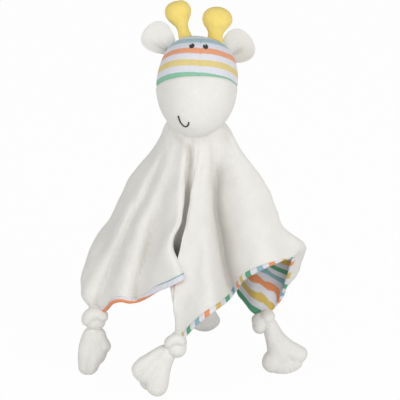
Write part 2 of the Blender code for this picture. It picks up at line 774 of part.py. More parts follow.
def ear_leaf(name, side, root, material):
    """One leaf of an ear, in front of the cupped middle or behind it, thin along its seam."""
    ways = np.linspace(0, EAR_TIP_SHARE, EAR_LENGTH_STEPS + 1)
    points = []
    for outside in (1, 0):
        for share in ways:
            body = min(share / EAR_SEAM_SHARE, 1)
            wall = EAR_SEAM_WALL + (EAR_LEAF_WALL - EAR_SEAM_WALL) * body
            offset = side * (CLEARANCE / 2 + outside * wall)
            if share < EAR_WIDEST_SHARE:
                swell = sin(pi / 2 * share / EAR_WIDEST_SHARE)
                half = EAR_ROOT_HALF + (EAR_HALF_WIDTH - EAR_ROOT_HALF) * swell
            else:
                beyond = (share - EAR_WIDEST_SHARE) / (1 - EAR_WIDEST_SHARE)
                half = EAR_HALF_WIDTH * sqrt(1 - beyond**2)
            for step in range(EAR_WIDTH_STEPS + 1):
                across = 2 * step / EAR_WIDTH_STEPS - 1
                cup = EAR_CUP * across**2 * sin(pi * share)
                points.append((half * across, share * EAR_LENGTH, cup + offset))
    wide, rows = EAR_WIDTH_STEPS + 1, EAR_LENGTH_STEPS + 1
    half_count = wide * rows
    faces = []
    for base in (0, half_count):
        for row in range(rows - 1):
            for step in range(wide - 1):
                a = base + row * wide + step
                faces.append((a, a + 1, a + wide + 1))
                faces.append((a, a + wide + 1, a + wide))
    rim = [step for step in range(wide)]
    rim += [row * wide + wide - 1 for row in range(1, rows)]
    rim += [(rows - 1) * wide + step for step in range(wide - 2, -1, -1)]
    rim += [row * wide for row in range(rows - 2, 0, -1)]
    for here, there in zip(rim, rim[1:] + rim[:1]):
        faces.append((here, there, there + half_count))
        faces.append((here, there + half_count, here + half_count))
    return place(mesh_object(name, points, faces, material), FRAMES[root.name], root)


def ear(which, name, nod, material):
    """A front and a back leaf, sewn to the side of the crown."""
    side = 2 * which - 1
    station = EAR_STATION_SHARES[which] * CROWN_LENGTH
    spot, _ = head_point(EAR_DEGREES[which], station, EAR_STANDOFFS[which])
    along = Vector((side * cos(radians(EAR_LIFT)), 0, sin(radians(EAR_LIFT))))
    facing = Vector((side * sin(radians(EAR_TURN)), -cos(radians(EAR_TURN)), 0))
    facing = (facing - along * facing.dot(along)).normalized()
    wide = along.cross(facing)
    frame = Matrix((wide, along, facing)).transposed().to_4x4()
    frame.translation = spot
    root = pivot(name + "_root", HEAD_FRAME @ frame, nod)
    ear_leaf(name + "_front", 1, root, material)
    ear_leaf(name + "_back", -1, root, material)


def main():
    clear_scene()
    materials = {
        "cream": cloth_material("cream_velour", CREAM),
        "cap": cloth_material("cap_jersey", CAP_STRIPE),
        "yellow": cloth_material("yellow_jersey", HORN_YELLOW),
        "lining": cloth_material("striped_jersey", LINING_STRIPE),
        "binding": cloth_material("binding_jersey", BINDING_STRIPE),
        "filling": cloth_material("polyester_filling", FILLING),
        "black": cloth_material("black_thread", THREAD_BLACK, 0.6),
        "grey": cloth_material("grey_thread", THREAD_GREY, 0.6),
    }
    collar = build_collar(materials["cream"])
    nod = pivot("head_pivot", Matrix.Translation(Vector(NECK_CENTRE)), collar)
    build_head(nod, materials)
    for which, name in enumerate(("left_horn", "right_horn")):
        horn(which, name, nod, materials)
    for which, name in enumerate(("left_ear", "right_ear")):
        ear(which, name, nod, materials["cream"])
    grid, normals = cloth_grid()
    layer("blanket_outer", grid, normals, CLEARANCE / 2, OUTER_FACE, materials["cream"])
    layer("blanket_lining", grid, normals, -INNER_FACE, -CLEARANCE / 2, materials["lining"])
    for side, name in enumerate(("left_front", "front_right", "right_back", "back_left")):
        binding("hem_binding_" + name, side, grid, normals, materials["binding"])
    floor_slab()
    for name, corner in CORNERS.items():
        knot(name + "_knot", corner, materials["cream"])
        tail(name + "_tail", corner, materials["cream"])


main()
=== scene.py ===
"""Comfort blanket with a stuffed giraffe head: velour, striped jersey lining and tied corners."""

import bmesh
import bpy
import numpy as np
from mathutils import Matrix, Vector


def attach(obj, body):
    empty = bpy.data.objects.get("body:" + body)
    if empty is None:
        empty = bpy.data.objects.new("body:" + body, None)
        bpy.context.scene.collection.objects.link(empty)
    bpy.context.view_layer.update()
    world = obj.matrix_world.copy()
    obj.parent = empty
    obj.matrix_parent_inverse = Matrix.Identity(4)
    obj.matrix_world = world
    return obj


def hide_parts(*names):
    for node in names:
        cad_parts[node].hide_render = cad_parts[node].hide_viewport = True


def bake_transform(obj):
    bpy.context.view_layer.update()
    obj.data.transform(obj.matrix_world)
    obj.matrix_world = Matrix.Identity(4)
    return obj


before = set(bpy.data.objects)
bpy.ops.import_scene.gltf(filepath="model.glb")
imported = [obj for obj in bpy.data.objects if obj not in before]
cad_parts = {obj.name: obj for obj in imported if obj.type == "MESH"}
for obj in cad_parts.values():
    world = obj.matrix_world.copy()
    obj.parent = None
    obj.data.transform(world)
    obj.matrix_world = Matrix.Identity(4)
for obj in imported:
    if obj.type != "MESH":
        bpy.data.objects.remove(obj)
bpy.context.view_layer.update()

MM = 0.001

# Sizes shared with the solid model, in metres
CLEARANCE = 0.0003
VELOUR_WALL = 0.0009
JERSEY_WALL = 0.0005
HALF_SIDE = 0.150
HALF_DIAGONAL = HALF_SIDE * np.sqrt(2)
CORNER_CUT = 0.0072
CORNER_GATHER_SHARE = 0.45
PATCH_RADIUS = 0.0198
PATCH_FLAT_SHARE = 0.3
FIRST_CORNER_DEGREES = 190.0
KNOT_LEVEL = 0.0460
HANGING_SHARE = 0.893
NECK = np.array((0.0040, 0.0045, KNOT_LEVEL + HANGING_SHARE * HALF_DIAGONAL))
NECK_TILT = np.radians(40.0)
NECK_UP = np.array((0.0, -np.sin(NECK_TILT), np.cos(NECK_TILT)))
NECK_BALL = 0.0050
BACK_KNOT = np.array((0.0085, 0.078241, 0.046))

# Heights of the two cloths' outer faces over the middle of the blanket
VELOUR_FACE = 0.00105
JERSEY_FACE = -0.00015
NECK_CENTRE = NECK + NECK_UP * (VELOUR_FACE + CLEARANCE + NECK_BALL)

# The hem as it hangs: flat angle round the cloth, picture place (across, down), depth in mm
HEM = np.array((
    (0, 94, 309, -20), (3, 101, 312, -23), (6, 107, 310, -29), (10, 113, 303.5, -38),
    (14, 121, 301, -44), (18, 130, 302.5, -45), (22, 138, 301.5, -44), (27, 148, 297, -52),
    (32, 160, 290, -62), (37, 172, 285, -69), (41.5, 183, 279.5, -72), (45, 184, 277, -60),
    (49, 177, 277, -38), (54, 174, 278, -24), (59, 178, 284, -26), (65, 179, 290, -48),
    (73, 178.5, 305, -61), (80, 179, 320, -69), (86, 178.5, 333, -76), (90, 177, 340, -79),
    (94, 183, 338, -83), (99, 193, 328, -88), (105, 204, 318.5, -92), (111, 215, 310, -90),
    (117, 225, 303, -72), (122, 233, 296, -59), (126, 238.5, 288, -57), (130, 243, 280.5, -61),
    (134, 252, 274, -67), (139, 265, 267.5, -69), (144, 279, 260.5, -63), (149, 291, 253.5, -50),
    (153, 293, 253.5, -46), (157, 290.5, 259.5, -46), (161, 288.5, 267.5, -41), (165, 286, 277.5, -34),
    (169, 283, 288, -27), (173, 280, 298, -21), (177, 275.5, 307, -17), (180, 268, 313.5, -16),
    (183, 260, 316, -14), (187, 252, 311, -8), (192, 244.5, 302, 2), (198, 238, 291, 14),
    (205, 240, 266, 32), (213, 250, 246, 50), (225, 261, 226, 66), (233, 250, 222, 78),
    (240, 231, 222, 88), (248, 217, 240, 86), (256, 212, 257, 81), (264, 205, 272, 79),
    (270, 202, 279, 78), (276, 196, 274, 79), (283, 186, 257, 84), (290, 176, 240, 88),
    (298, 162, 223, 90), (306, 148, 219, 84), (313, 140, 222, 75), (320, 134, 232, 64),
    (328, 128, 242, 56), (334, 114, 247, 54), (340, 104, 254, 50), (345, 99, 264, 40),
    (350, 97, 280, 22), (355, 95, 297, 2),
))

# Where the cloth leaves a straight run: flat angle and share of the way down, their widths,
# then the push across and down the picture in its places and in depth in mm
PUSHES = (
    (41.5, 11.0, 0.80, 0.13, -13.0, 0.0, 0.0),
    (41.5, 8.0, 0.50, 0.18, -3.0, 0.0, 0.0),
    (70.0, 12.0, 0.50, 0.32, 6.0, 0.0, 0.0),
    (74.0, 12.0, 0.86, 0.10, -10.0, 0.0, -6.0),
    (54.0, 9.0, 0.70, 0.18, 0.0, 0.0, -14.0),
    (88.0, 10.0, 0.66, 0.20, -9.0, 0.0, -8.0),
    (122.0, 7.0, 0.62, 0.30, -7.0, 0.0, 6.0),
    (346.0, 24.0, 0.62, 0.24, -14.0, 0.0, 0.0),
    (344.0, 30.0, 0.13, 0.11, -4.5, 0.0, 0.0),
    (152.0, 30.0, 0.16, 0.14, 6.0, 0.0, 0.0),
    (350.0, 14.0, 0.86, 0.09, -12.0, 0.0, -8.0),
    (355.0, 9.0, 0.93, 0.055, -11.0, 7.0, -4.0),
    (154.0, 22.0, 0.54, 0.26, 13.0, 0.0, 0.0),
    (149.0, 6.0, 0.965, 0.035, 0.0, 7.0, -5.0),
    (153.0, 5.0, 0.90, 0.06, 11.0, 4.0, -2.0),
    (160.0, 5.5, 0.90, 0.055, 19.5, 0.0, 8.0),
    (169.5, 6.0, 0.91, 0.055, 20.0, 0.0, 7.0),
)

# Valleys seen from the front: picture places along the line, half width there, depth in mm,
# and the flat angles between which the cloth takes part
VALLEYS = (
    (((163, 145), (159, 165), (152, 180), (144.5, 200), (132, 220), (124, 240), (117, 255),
      (111, 268), (103, 290), (98, 306)), 3.6, 7.0, -25, 40),
    (((155, 200), (153, 220), (151, 235), (146, 255), (142, 268), (138, 280), (136, 297)), 3.4, 6.5, -10, 42),
    (((221, 140), (221, 165), (218, 180), (215, 200), (216.5, 220), (221, 240), (222.5, 255),
      (225, 268), (229, 282), (233, 294)), 8.0, 18.0, 92, 150),
    (((207, 154), (202, 163), (198, 172)), 3.0, 1.8, 70, 120),
    (((175, 130), (179, 137), (185, 143), (189.5, 148), (191, 156), (191, 166)), 2.2, 3.0, -20, 110),
)

# Head: an egg, fuller above its widest place than below
HEAD_RADIUS = 0.0360
CROWN_LENGTH = 0.0446
MUZZLE_LENGTH = 0.0459
CROWN_FULLNESS = 2.5
MUZZLE_FULLNESS = 2.0
HEAD_AXES = np.array(Matrix.Rotation(np.radians(4.0), 3, "Y") @ Matrix.Rotation(np.radians(-35.0), 3, "X"))
NECK_STATION = 0.0138
NECK_GAP = 0.0020
HEAD_MIDDLE = 0.0044


def egg_radius(station):
    """Radius of the egg at a height on its axis: a superellipse, fuller above than below."""
    length = np.where(station >= 0, CROWN_LENGTH, MUZZLE_LENGTH)
    power = np.where(station >= 0, CROWN_FULLNESS, MUZZLE_FULLNESS)
    along = np.clip(np.abs(station) / length, 0, 1)
    return HEAD_RADIUS * (1 - along**power) ** (1 / power)


HEAD_CENTRE = (
    NECK_CENTRE + HEAD_AXES[:, 2] * NECK_STATION
    - HEAD_AXES[:, 1] * (float(egg_radius(-NECK_STATION)) + NECK_GAP)
)
HEAD_CENTRE[0] = HEAD_MIDDLE

# Camera: its distance, and the width of the picture at the middle of the object
CAMERA_DISTANCE = 6.0
CAMERA_RISE = np.radians(18.0)
VIEW_MIDDLE = np.array((0.00675, 0.0, 0.159))
VIEW_WIDTH = 0.360
PICTURE = 400
PX = VIEW_WIDTH / PICTURE
LOOK = np.array((0.0, np.cos(CAMERA_RISE), -np.sin(CAMERA_RISE)))
CAMERA_SPOT = VIEW_MIDDLE - LOOK * CAMERA_DISTANCE
VIEW_RIGHT = np.array((1.0, 0.0, 0.0))
VIEW_UP = np.array((0.0, np.sin(CAMERA_RISE), np.cos(CAMERA_RISE)))


def seen(spots, depth):
    """Frame points that the camera sees at picture places (across, down), at depths along +Y."""
    spots = np.asarray(spots, float)
    across = (spots[..., 0] - PICTURE / 2) * PX
    up = (PICTURE / 2 - spots[..., 1]) * PX
    ray = LOOK * CAMERA_DISTANCE + across[..., None] * VIEW_RIGHT + up[..., None] * VIEW_UP
    reach = (np.asarray(depth, float) - CAMERA_SPOT[1]) / ray[..., 1]
    return CAMERA_SPOT + ray * reach[..., None]


def picture(points):
    """Picture places (across, down) of frame points."""
    away = points - CAMERA_SPOT
    scale = CAMERA_DISTANCE / (away @ LOOK) / PX
    return np.stack((PICTURE / 2 + away[..., 0] * scale, PICTURE / 2 - (away @ VIEW_UP) * scale), -1)


# Meshes


def smoothstep(value):
    """Goes from 0 to 1 with no slope at either end."""
    value = np.clip(value, 0, 1)
    return value * value * (3 - 2 * value)


def bell(value, middle, width):
    """A bump of height 1 at the middle, falling to nothing about two widths away."""
    return np.exp(-(((value - middle) / width) ** 2))


def unit(vectors):
    """Vectors of length 1."""
    return vectors / np.linalg.norm(vectors, axis=-1, keepdims=True)


def run_length(line):
    """Length along a line of points, from 0 at the first."""
    return np.concatenate(([0], np.cumsum(np.linalg.norm(np.diff(line, axis=0), axis=1))))


def circle(turn, side, front):
    """Points round a circle of radius 1 that lies in the plane of two directions."""
    return np.cos(turn)[..., None] * side + np.sin(turn)[..., None] * front


def ripple(points, wavelength, seed, count=14):
    """Even random-looking relief: a sum of plane waves of about one wavelength, between -1 and 1."""
    draw = np.random.default_rng(seed)
    ways = draw.normal(size=(count, points.shape[-1]))
    ways /= np.linalg.norm(ways, axis=1)[:, None]
    lengths = wavelength * draw.uniform(0.7, 1.5, count)
    phases = draw.uniform(0, 2 * np.pi, count)
    waves = np.sin(points @ (ways / lengths[:, None]).T * 2 * np.pi + phases)
    return waves.sum(-1) / np.sqrt(count)


def spline(knots, values, at, period=None):
    """Cubic through the values at the knots, closed over the period if one is given."""
    knots, values = np.asarray(knots, float), np.asarray(values, float)
    if values.ndim == 1:
        return spline(knots, values[:, None], at, period)[:, 0]
    if period is None:
        first, last = 2 * knots[0] - knots[1], 2 * knots[-1] - knots[-2]
        ahead = np.append(knots[1:], last)
        behind = np.append(first, knots[:-1])
        upper = np.concatenate((values[1:], 2 * values[-1:] - values[-2:-1]))
        lower = np.concatenate((2 * values[:1] - values[1:2], values[:-1]))
        place = np.clip(np.searchsorted(knots, at, side="right") - 1, 0, len(knots) - 2)
        after = place + 1
    else:
        ahead = np.append(knots[1:], knots[0] + period)
        behind = np.append(knots[-1] - period, knots[:-1])
        upper, lower = np.roll(values, -1, 0), np.roll(values, 1, 0)
        place = (np.searchsorted(knots, at, side="right") - 1) % len(knots)
        after = (place + 1) % len(knots)
    slopes = (upper - lower) / (ahead - behind)[:, None]
    span = (ahead - knots)[place][:, None]
    t = (np.asarray(at) - knots[place])[:, None] / span
    return (
        (2 * t**3 - 3 * t**2 + 1) * values[place] + (t**3 - 2 * t**2 + t) * span * slopes[place]
        + (3 * t**2 - 2 * t**3) * values[after] + (t**3 - t**2) * span * slopes[after]
    )


def weld(mesh, gap=2e-6):
    """Merges the points that coincide, and turns the faces outwards."""
    shape = bmesh.new()
    shape.from_mesh(mesh)
    bmesh.ops.remove_doubles(shape, verts=shape.verts, dist=gap)
    bmesh.ops.recalc_face_normals(shape, faces=shape.faces)
    shape.to_mesh(mesh)
    shape.free()
    mesh.shade_smooth()


def grid_mesh(name, grids, uv=None):
    """Faces over grids of points, row by row, welded where rows or columns meet."""
    quads, start = [], 0
    for grid in grids:
        rows, columns = grid.shape[:2]
        place = np.arange(rows * columns).reshape(rows, columns) + start
        corners = (place[:-1, :-1], place[:-1, 1:], place[1:, 1:], place[1:, :-1])
        quads.append(np.stack(corners, -1).reshape(-1, 4))
        start += rows * columns
    quads = np.concatenate(quads)
    mesh = bpy.data.meshes.new(name)
    mesh.from_pydata(np.concatenate([grid.reshape(-1, 3) for grid in grids]).tolist(), [], quads.tolist())
    if uv is not None:
        layer = mesh.uv_layers.new(name="cloth")
        flat = np.asarray(uv, np.float32).reshape(-1, 2)[quads.ravel()]
        layer.data.foreach_set("uv", flat.ravel())
    weld(mesh)
    return mesh


def linked(name, mesh, material):
    """An object of the mesh in the scene, with its finish."""
    mesh.materials.append(material)
    item = bpy.data.objects.new(name, mesh)
    bpy.context.scene.collection.objects.link(item)
    return item


def grid_piece(name, points, material, uv=None):
    """An object over one grid of points."""
    return linked(name, grid_mesh(name, [points], uv), material)


def shell(item, wall):
    """Gives a sheet its wall, inwards."""
    made = item.modifiers.new("wall", "SOLIDIFY")
    made.thickness = wall
    made.offset = -1.0
    return item


def fused(name, shapes, material, voxel=0.0007, rounds=6):
    """One skin over several overlapping closed shapes, eased where they meet."""
    item = linked(name, grid_mesh(name, shapes), material)
    skin = item.modifiers.new("skin", "REMESH")
    skin.mode = "VOXEL"
    skin.voxel_size = voxel
    ease = item.modifiers.new("ease", "SMOOTH")
    ease.factor = 0.5
    ease.iterations = rounds
    made = bpy.data.meshes.new_from_object(item.evaluated_get(bpy.context.evaluated_depsgraph_get()))
    item.modifiers.clear()
    old = item.data
    item.data = made
    bpy.data.meshes.remove(old)
    made.shade_smooth()
    return item


def placed(item, slot, *nodes, body=None):
    """Hides the solids that a piece stands for and puts it on the body it rides on; the slot is not used."""
    if body is not None:
        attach(item, body)
    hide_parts(*nodes)
    return item


# Finishes

LOOP_WIDTH = 0.0009
LOOP_HEIGHT = 0.00072
PRINT_WOBBLE = 0.0008
PRINT_EDGE_SHARE = 0.008
STRAND_PITCH = 0.0003


def linear(code):
    """Scene colour of a written sRGB colour such as EBEAE5."""
    parts = np.array([int(code[i:i + 2], 16) for i in (0, 2, 4)]) / 255
    return tuple(np.where(parts <= 0.04045, parts / 12.92, ((parts + 0.055) / 1.055) ** 2.4)) + (1.0,)


class Finish:
    """A node material under construction."""

    def __init__(self, name):
        self.material = bpy.data.materials.new(name)
        self.material.use_nodes = True
        self.tree = self.material.node_tree
        self.shader = self.tree.nodes["Principled BSDF"]

    def node(self, kind, **settings):
        """A node with its settings."""
        made = self.tree.nodes.new("ShaderNode" + kind)
        for key, value in settings.items():
            setattr(made, key, value)
        return made

    def join(self, source, target):
        """Links an output socket to an input socket."""
        self.tree.links.new(source, target)

    def surface(self, colour, normal=None, roughness=0.9, specular=0.2, sheen=0.0):
        """The shader's own sockets."""
        self.join(colour, self.shader.inputs["Base Color"])
        if normal is not None:
            self.join(normal, self.shader.inputs["Normal"])
        self.shader.inputs["Roughness"].default_value = roughness
        self.shader.inputs["Specular IOR Level"].default_value = specular
        self.shader.inputs["Sheen Weight"].default_value = sheen

    def math(self, operation, *given):
        """Output of a Math node on sockets or numbers."""
        made = self.node("Math", operation=operation)
        for socket, value in zip(made.inputs, given):
            if isinstance(value, (int, float)):
                socket.default_value = value
            else:
                self.join(value, socket)
        return made.outputs[0]

    def noise(self, coordinates, scale, detail=3.0, roughness=0.5):
        """Fractal noise of a scale in cycles per metre."""
        made = self.node("TexNoise")
        made.inputs["Scale"].default_value = scale
        made.inputs["Detail"].default_value = detail
        made.inputs["Roughness"].default_value = roughness
        self.join(coordinates, made.inputs["Vector"])
        return made.outputs["Fac"]

    def ramp(self, source, stops):
        """Colours at places between 0 and 1."""
        made = self.node("ValToRGB")
        elements = made.color_ramp.elements
        while len(elements) < len(stops):
            elements.new(1.0)
        for element, (place, colour) in zip(elements, stops):
            element.position = place
            element.color = colour
        self.join(source, made.inputs["Fac"])
        return made.outputs["Color"]

    def plain(self, code):
        """One colour."""
        made = self.node("RGB")
        made.outputs[0].default_value = linear(code)
        return made.outputs[0]

    def shade(self, colour, factor, low, high=1.0):
        """The colour multiplied by a grey that runs from low to high with the factor."""
        grey = self.ramp(factor, ((0.3, (low, low, low, 1)), (0.7, (high, high, high, 1))))
        mix = self.node("Mix", data_type="RGBA", blend_type="MULTIPLY")
        mix.inputs["Factor"].default_value = 1.0
        self.join(colour, mix.inputs["A"])
        self.join(grey, mix.inputs["B"])
        return mix.outputs["Result"]

    def bump(self, height, depth, strength, under=None):
        """A bump of that depth in metres, on top of another one."""
        made = self.node("Bump")
        made.inputs["Strength"].default_value = strength
        made.inputs["Distance"].default_value = depth
        self.join(height, made.inputs["Height"])
        if under is not None:
            self.join(under, made.inputs["Normal"])
        return made.outputs["Normal"]

    def coordinates(self, kind="Object"):
        """Object or UV coordinates."""
        return self.node("TexCoord").outputs[kind]

    def cloth(self):
        """Coordinates in the cloth, and its two directions: across and along."""
        place = self.coordinates("UV")
        parts = self.node("SeparateXYZ")
        self.join(place, parts.inputs[0])
        return place, parts.outputs[0], parts.outputs[1]

    def knitted(self, across, along):
        """Height of fine jersey: columns and rows of loops of one width and height."""
        wales = self.math("SINE", self.math("MULTIPLY", across, 2 * np.pi / LOOP_WIDTH))
        courses = self.math("SINE", self.math("MULTIPLY", along, 2 * np.pi / LOOP_HEIGHT))
        return self.math("ADD", self.math("ABSOLUTE", wales), self.math("MULTIPLY", courses, 0.4))


def velour(name, code):
    """Short-pile velour: a matt cream with brushed patches, fine pile and a soft sheen."""
    finish = Finish(name)
    place = finish.coordinates()
    patches = finish.noise(place, scale=70.0, detail=4.0, roughness=0.6)
    pile = finish.noise(place, scale=900.0, detail=3.0, roughness=0.7)
    colour = finish.shade(finish.shade(finish.plain(code), patches, low=0.955), pile, low=0.93)
    soft = finish.bump(patches, depth=0.0012, strength=0.35)
    fine = finish.bump(pile, depth=0.0004, strength=0.55, under=soft)
    finish.surface(colour, fine, roughness=0.95, specular=0.15, sheen=0.25)
    finish.shader.inputs["Sheen Roughness"].default_value = 0.45
    return finish.material


def striped(name, codes, period, start):
    """Fine jersey printed in bands of one width, counted along V in metres from start."""
    finish = Finish(name)
    cloth, across, along = finish.cloth()
    wobble = finish.math("SUBTRACT", finish.noise(cloth, scale=400.0, detail=2.0), 0.5)
    shifted = finish.math("ADD", along, finish.math("MULTIPLY", wobble, PRINT_WOBBLE))
    turns = finish.math("FRACT", finish.math("DIVIDE", finish.math("SUBTRACT", shifted, start), period))
    stops = []
    for index, code in enumerate(codes):
        stops.append((index / len(codes) + PRINT_EDGE_SHARE, linear(code)))
        stops.append(((index + 1) / len(codes) - PRINT_EDGE_SHARE, linear(code)))
    mottle = finish.noise(cloth, scale=250.0, detail=4.0, roughness=0.6)
    colour = finish.shade(finish.ramp(turns, stops), mottle, low=0.94)
    loops = finish.knitted(across, along)
    colour = finish.shade(colour, finish.math("MULTIPLY", loops, 0.6), low=0.94)
    knit = finish.bump(loops, depth=0.00012, strength=0.5)
    soft = finish.bump(mottle, depth=0.0006, strength=0.2, under=knit)
    finish.surface(colour, soft, sheen=0.15)
    return finish.material


def plain_jersey(name, code):
    """Plain jersey: fine rows of loops and slightly uneven dye."""
    finish = Finish(name)
    cloth, across, along = finish.cloth()
    mottle = finish.noise(cloth, scale=180.0, detail=4.0, roughness=0.6)
    colour = finish.shade(finish.plain(code), mottle, low=0.93)
    loops = finish.knitted(across, along)
    colour = finish.shade(colour, finish.math("MULTIPLY", loops, 0.6), low=0.93)
    finish.surface(colour, finish.bump(loops, depth=0.00012, strength=0.5), sheen=0.2)
    return finish.material


def thread(name, code, roughness=0.45):
    """Embroidery thread: fine parallel strands with a low gloss."""
    finish = Finish(name)
    _, across, _ = finish.cloth()
    strands = finish.math("SINE", finish.math("MULTIPLY", across, 2 * np.pi / STRAND_PITCH))
    colour = finish.shade(finish.plain(code), strands, low=0.8)
    finish.surface(colour, finish.bump(strands, depth=0.0001, strength=0.6), roughness, specular=0.5)
    return finish.material


def filling_fibre(name, code):
    """White polyester wadding: tangled fibres."""
    finish = Finish(name)
    tangle = finish.noise(finish.coordinates(), scale=500.0, detail=6.0, roughness=0.7)
    colour = finish.shade(finish.plain(code), tangle, low=0.85)
    finish.surface(colour, finish.bump(tangle, depth=0.001, strength=0.6), roughness=1.0, specular=0.5)
    return finish.material


CAP_STRIPES = ("8FC7A9", "E6E6EE", "E9D490", "E8E8F0", "F0A982", "E6E6F0", "ACCBD3", "E8E8EF")
LINING_STRIPES = ("5FA983", "E6E6EC", "DDC06A", "E8E8EE", "EE9A68", "E4E4EC", "92BBC2", "E4E4EA")

CREAM = velour("cream_velour", "E9E7E2")
LINING = striped("striped_jersey", LINING_STRIPES, period=0.046, start=-0.1504)
BINDING = striped("binding_jersey", LINING_STRIPES, period=0.046, start=-0.1504)
CAP = striped("cap_jersey", CAP_STRIPES, period=0.050, start=-0.0044)
YELLOW = plain_jersey("yellow_jersey", "FAE07E")
FILLING = filling_fibre("polyester_filling", "F0F0EE")
BLACK = thread("black_thread", "1C1B1A")
GREY = thread("grey_thread", "3C3C3A", roughness=0.7)
# White thread used only for the small white dots that paint the eyes' highlights
PAINTED_HIGHLIGHT_WHITE = thread("painted_highlight_white", "F2F2F0")

# Blanket

CORNER_PULL = 0.022
BINDING_WIDTH = 0.0046
SIDE_COLUMNS = 134
ROW_SHARES = np.concatenate((np.linspace(0.004, 0.30, 24), np.linspace(0.315, 0.97, 50)))
BINDING_ROW_SHARES = (0.8, 0.5, 0.25, 0.0)
EASING_PASSES = 32
EASING_STEP_SHARE = 0.018
EASING_START = 0.02

# A valley's rounded bottom, the share of its line where it sets in and its depth there, the
# width in degrees over which the cloth beside it stops taking part, and the steps of its line
VALLEY_ROUND = 0.3
VALLEY_SHOULDER = 0.548
VALLEY_HEAD_SHARE = 0.25
VALLEY_HEAD_DEPTH = 0.2
VALLEY_FADE = 8.0
VALLEY_STEPS = 60

# Gathers round the neck: height, middle and width of their ring, count and unevenness
GATHER_HEIGHT = 0.0003
GATHER_RING = (0.040, 0.022)
GATHERS = 17
GATHER_SWAY = (2.0, 3)
# Slack cloth: height, where it sets in and over what length, wavelength and seed
SLACK_FOLDS = ((0.0008, 0.03, 0.06, 0.075, 5), (0.00035, 0.02, 0.04, 0.022, 8))
HEM_CALM_WIDTH = 0.02
HEM_CALM = 0.5


def hem_columns():
    """Flat angle and reach of each column: even steps along four sides with cut corners."""
    end = 1 - np.sqrt(2) * CORNER_CUT / HALF_SIDE
    along = np.linspace(-end, end, SIDE_COLUMNS)
    turn, reach = [], []
    for side in range(4):
        turn.append([90.0 * side])
        reach.append([HALF_DIAGONAL - CORNER_CUT])
        turn.append(90.0 * side + 45.0 + np.degrees(np.arctan(along)))
        reach.append(HALF_SIDE * np.sqrt(1 + along**2))
    return np.concatenate(turn), np.concatenate(reach)


def ruled(turn, reach, distance):
    """Cloth before its corners are drawn in: a flat patch on the neck, a bend, a straight run."""
    places = spline(HEM[:, 0], HEM[:, 1:], turn, 360.0)
    share = (distance / reach)[:, None]
    hem = seen(places[:, :2], places[:, 2] * MM)
    level = np.radians(FIRST_CORNER_DEGREES + turn)
    across = np.stack((np.cos(level), np.sin(level), np.zeros_like(level)), 1)
    across[:, 2] = -(across @ NECK_UP) / NECK_UP[2]
    across = unit(across)
    ring = NECK + PATCH_RADIUS * across
    run = (hem - ring) / (reach - PATCH_RADIUS)[:, None]
    inner = PATCH_FLAT_SHARE * PATCH_RADIUS
    outer = 2 * PATCH_RADIUS - inner
    bend = np.clip((distance - inner) / (outer - inner), 0, 1)[:, None]
    arc = (
        (1 - bend) ** 2 * (NECK + inner * across) + 2 * bend * (1 - bend) * ring
        + bend**2 * (ring + (outer - PATCH_RADIUS) * run)
    )
    flat = NECK + distance[:, None] * across
    straight = ring + (distance - PATCH_RADIUS)[:, None] * run
    chosen = np.where((distance < inner)[:, None], flat, arc)
    chosen = np.where((distance > outer)[:, None], straight, chosen)
    for angle, spread, middle, length, right, down, depth in PUSHES:
        near = (turn - angle + 180) % 360 - 180
        weight = bell(near, 0, spread)[:, None] * bell(share, middle, length)
        chosen = chosen + weight * (right * PX * VIEW_RIGHT - down * PX * VIEW_UP + depth * MM * LOOK)
    return chosen


def flat_xy(turn, distance):
    """Place in the flat cloth, its first corner on the X axis."""
    angle = np.radians(turn)
    return np.stack((distance * np.cos(angle), distance * np.sin(angle)), -1)


def cloth_points(turn, reach, distance):
    """Middle of the folded cloth, with each corner gathered into the mouth of its knot."""
    points = ruled(turn, reach, distance)
    flat = flat_xy(turn, distance)
    tip = np.array([HALF_DIAGONAL - CORNER_CUT])
    for angle in (0.0, 90.0, 180.0, 270.0):
        corner = ruled(np.array([angle]), tip, tip)[0]
        away = np.linalg.norm(flat - flat_xy(angle, HALF_DIAGONAL), axis=1) - CORNER_CUT
        pull = (1 - smoothstep(away / CORNER_PULL))[:, None]
        points = points + pull * (1 - CORNER_GATHER_SHARE) * (corner - points)
    return points


def valley_depth(points, turns):
    """How far each point sinks away from the camera in the valleys that the front shows."""
    places = picture(points)
    sunk = np.zeros(points.shape[:-1])
    ways = np.linspace(0, 1, VALLEY_STEPS)
    for line, half, depth, first, last in VALLEYS:
        gap = np.full(points.shape[:-1], np.inf)
        where = np.zeros(points.shape[:-1])
        for way, spot in zip(ways, spline(np.linspace(0, 1, len(line)), np.array(line, float), ways)):
            far = np.hypot(places[..., 0] - spot[0], places[..., 1] - spot[1])
            where = np.where(far < gap, way, where)
            gap = np.minimum(gap, far)
        ends = smoothstep(where / VALLEY_HEAD_SHARE) * (1 - VALLEY_HEAD_DEPTH) + VALLEY_HEAD_DEPTH
        middle, reach = (first + last) / 2, (last - first) / 2
        near = np.abs((turns - middle + 180) % 360 - 180)
        taking_part = 1 - smoothstep((near - reach + VALLEY_FADE) / VALLEY_FADE)
        shape = np.exp(-(np.sqrt((gap / half) ** 2 + VALLEY_ROUND) - VALLEY_SHOULDER))
        sunk += depth * MM * ends * shape * taking_part
    return sunk


def relief(turn, distance):
    """Small folds on top of the drape: gathers at the neck and slack in the cloth."""
    angle = np.radians(turn)
    sway, sways = GATHER_SWAY
    waves = np.sin(angle * GATHERS + sway * np.sin(angle * sways))
    folds = GATHER_HEIGHT * bell(distance, *GATHER_RING) * waves
    flat = flat_xy(turn, distance)
    for height, start, length, wavelength, seed in SLACK_FOLDS:
        folds = folds + height * smoothstep((distance - start) / length) * ripple(flat, wavelength, seed)
    return folds


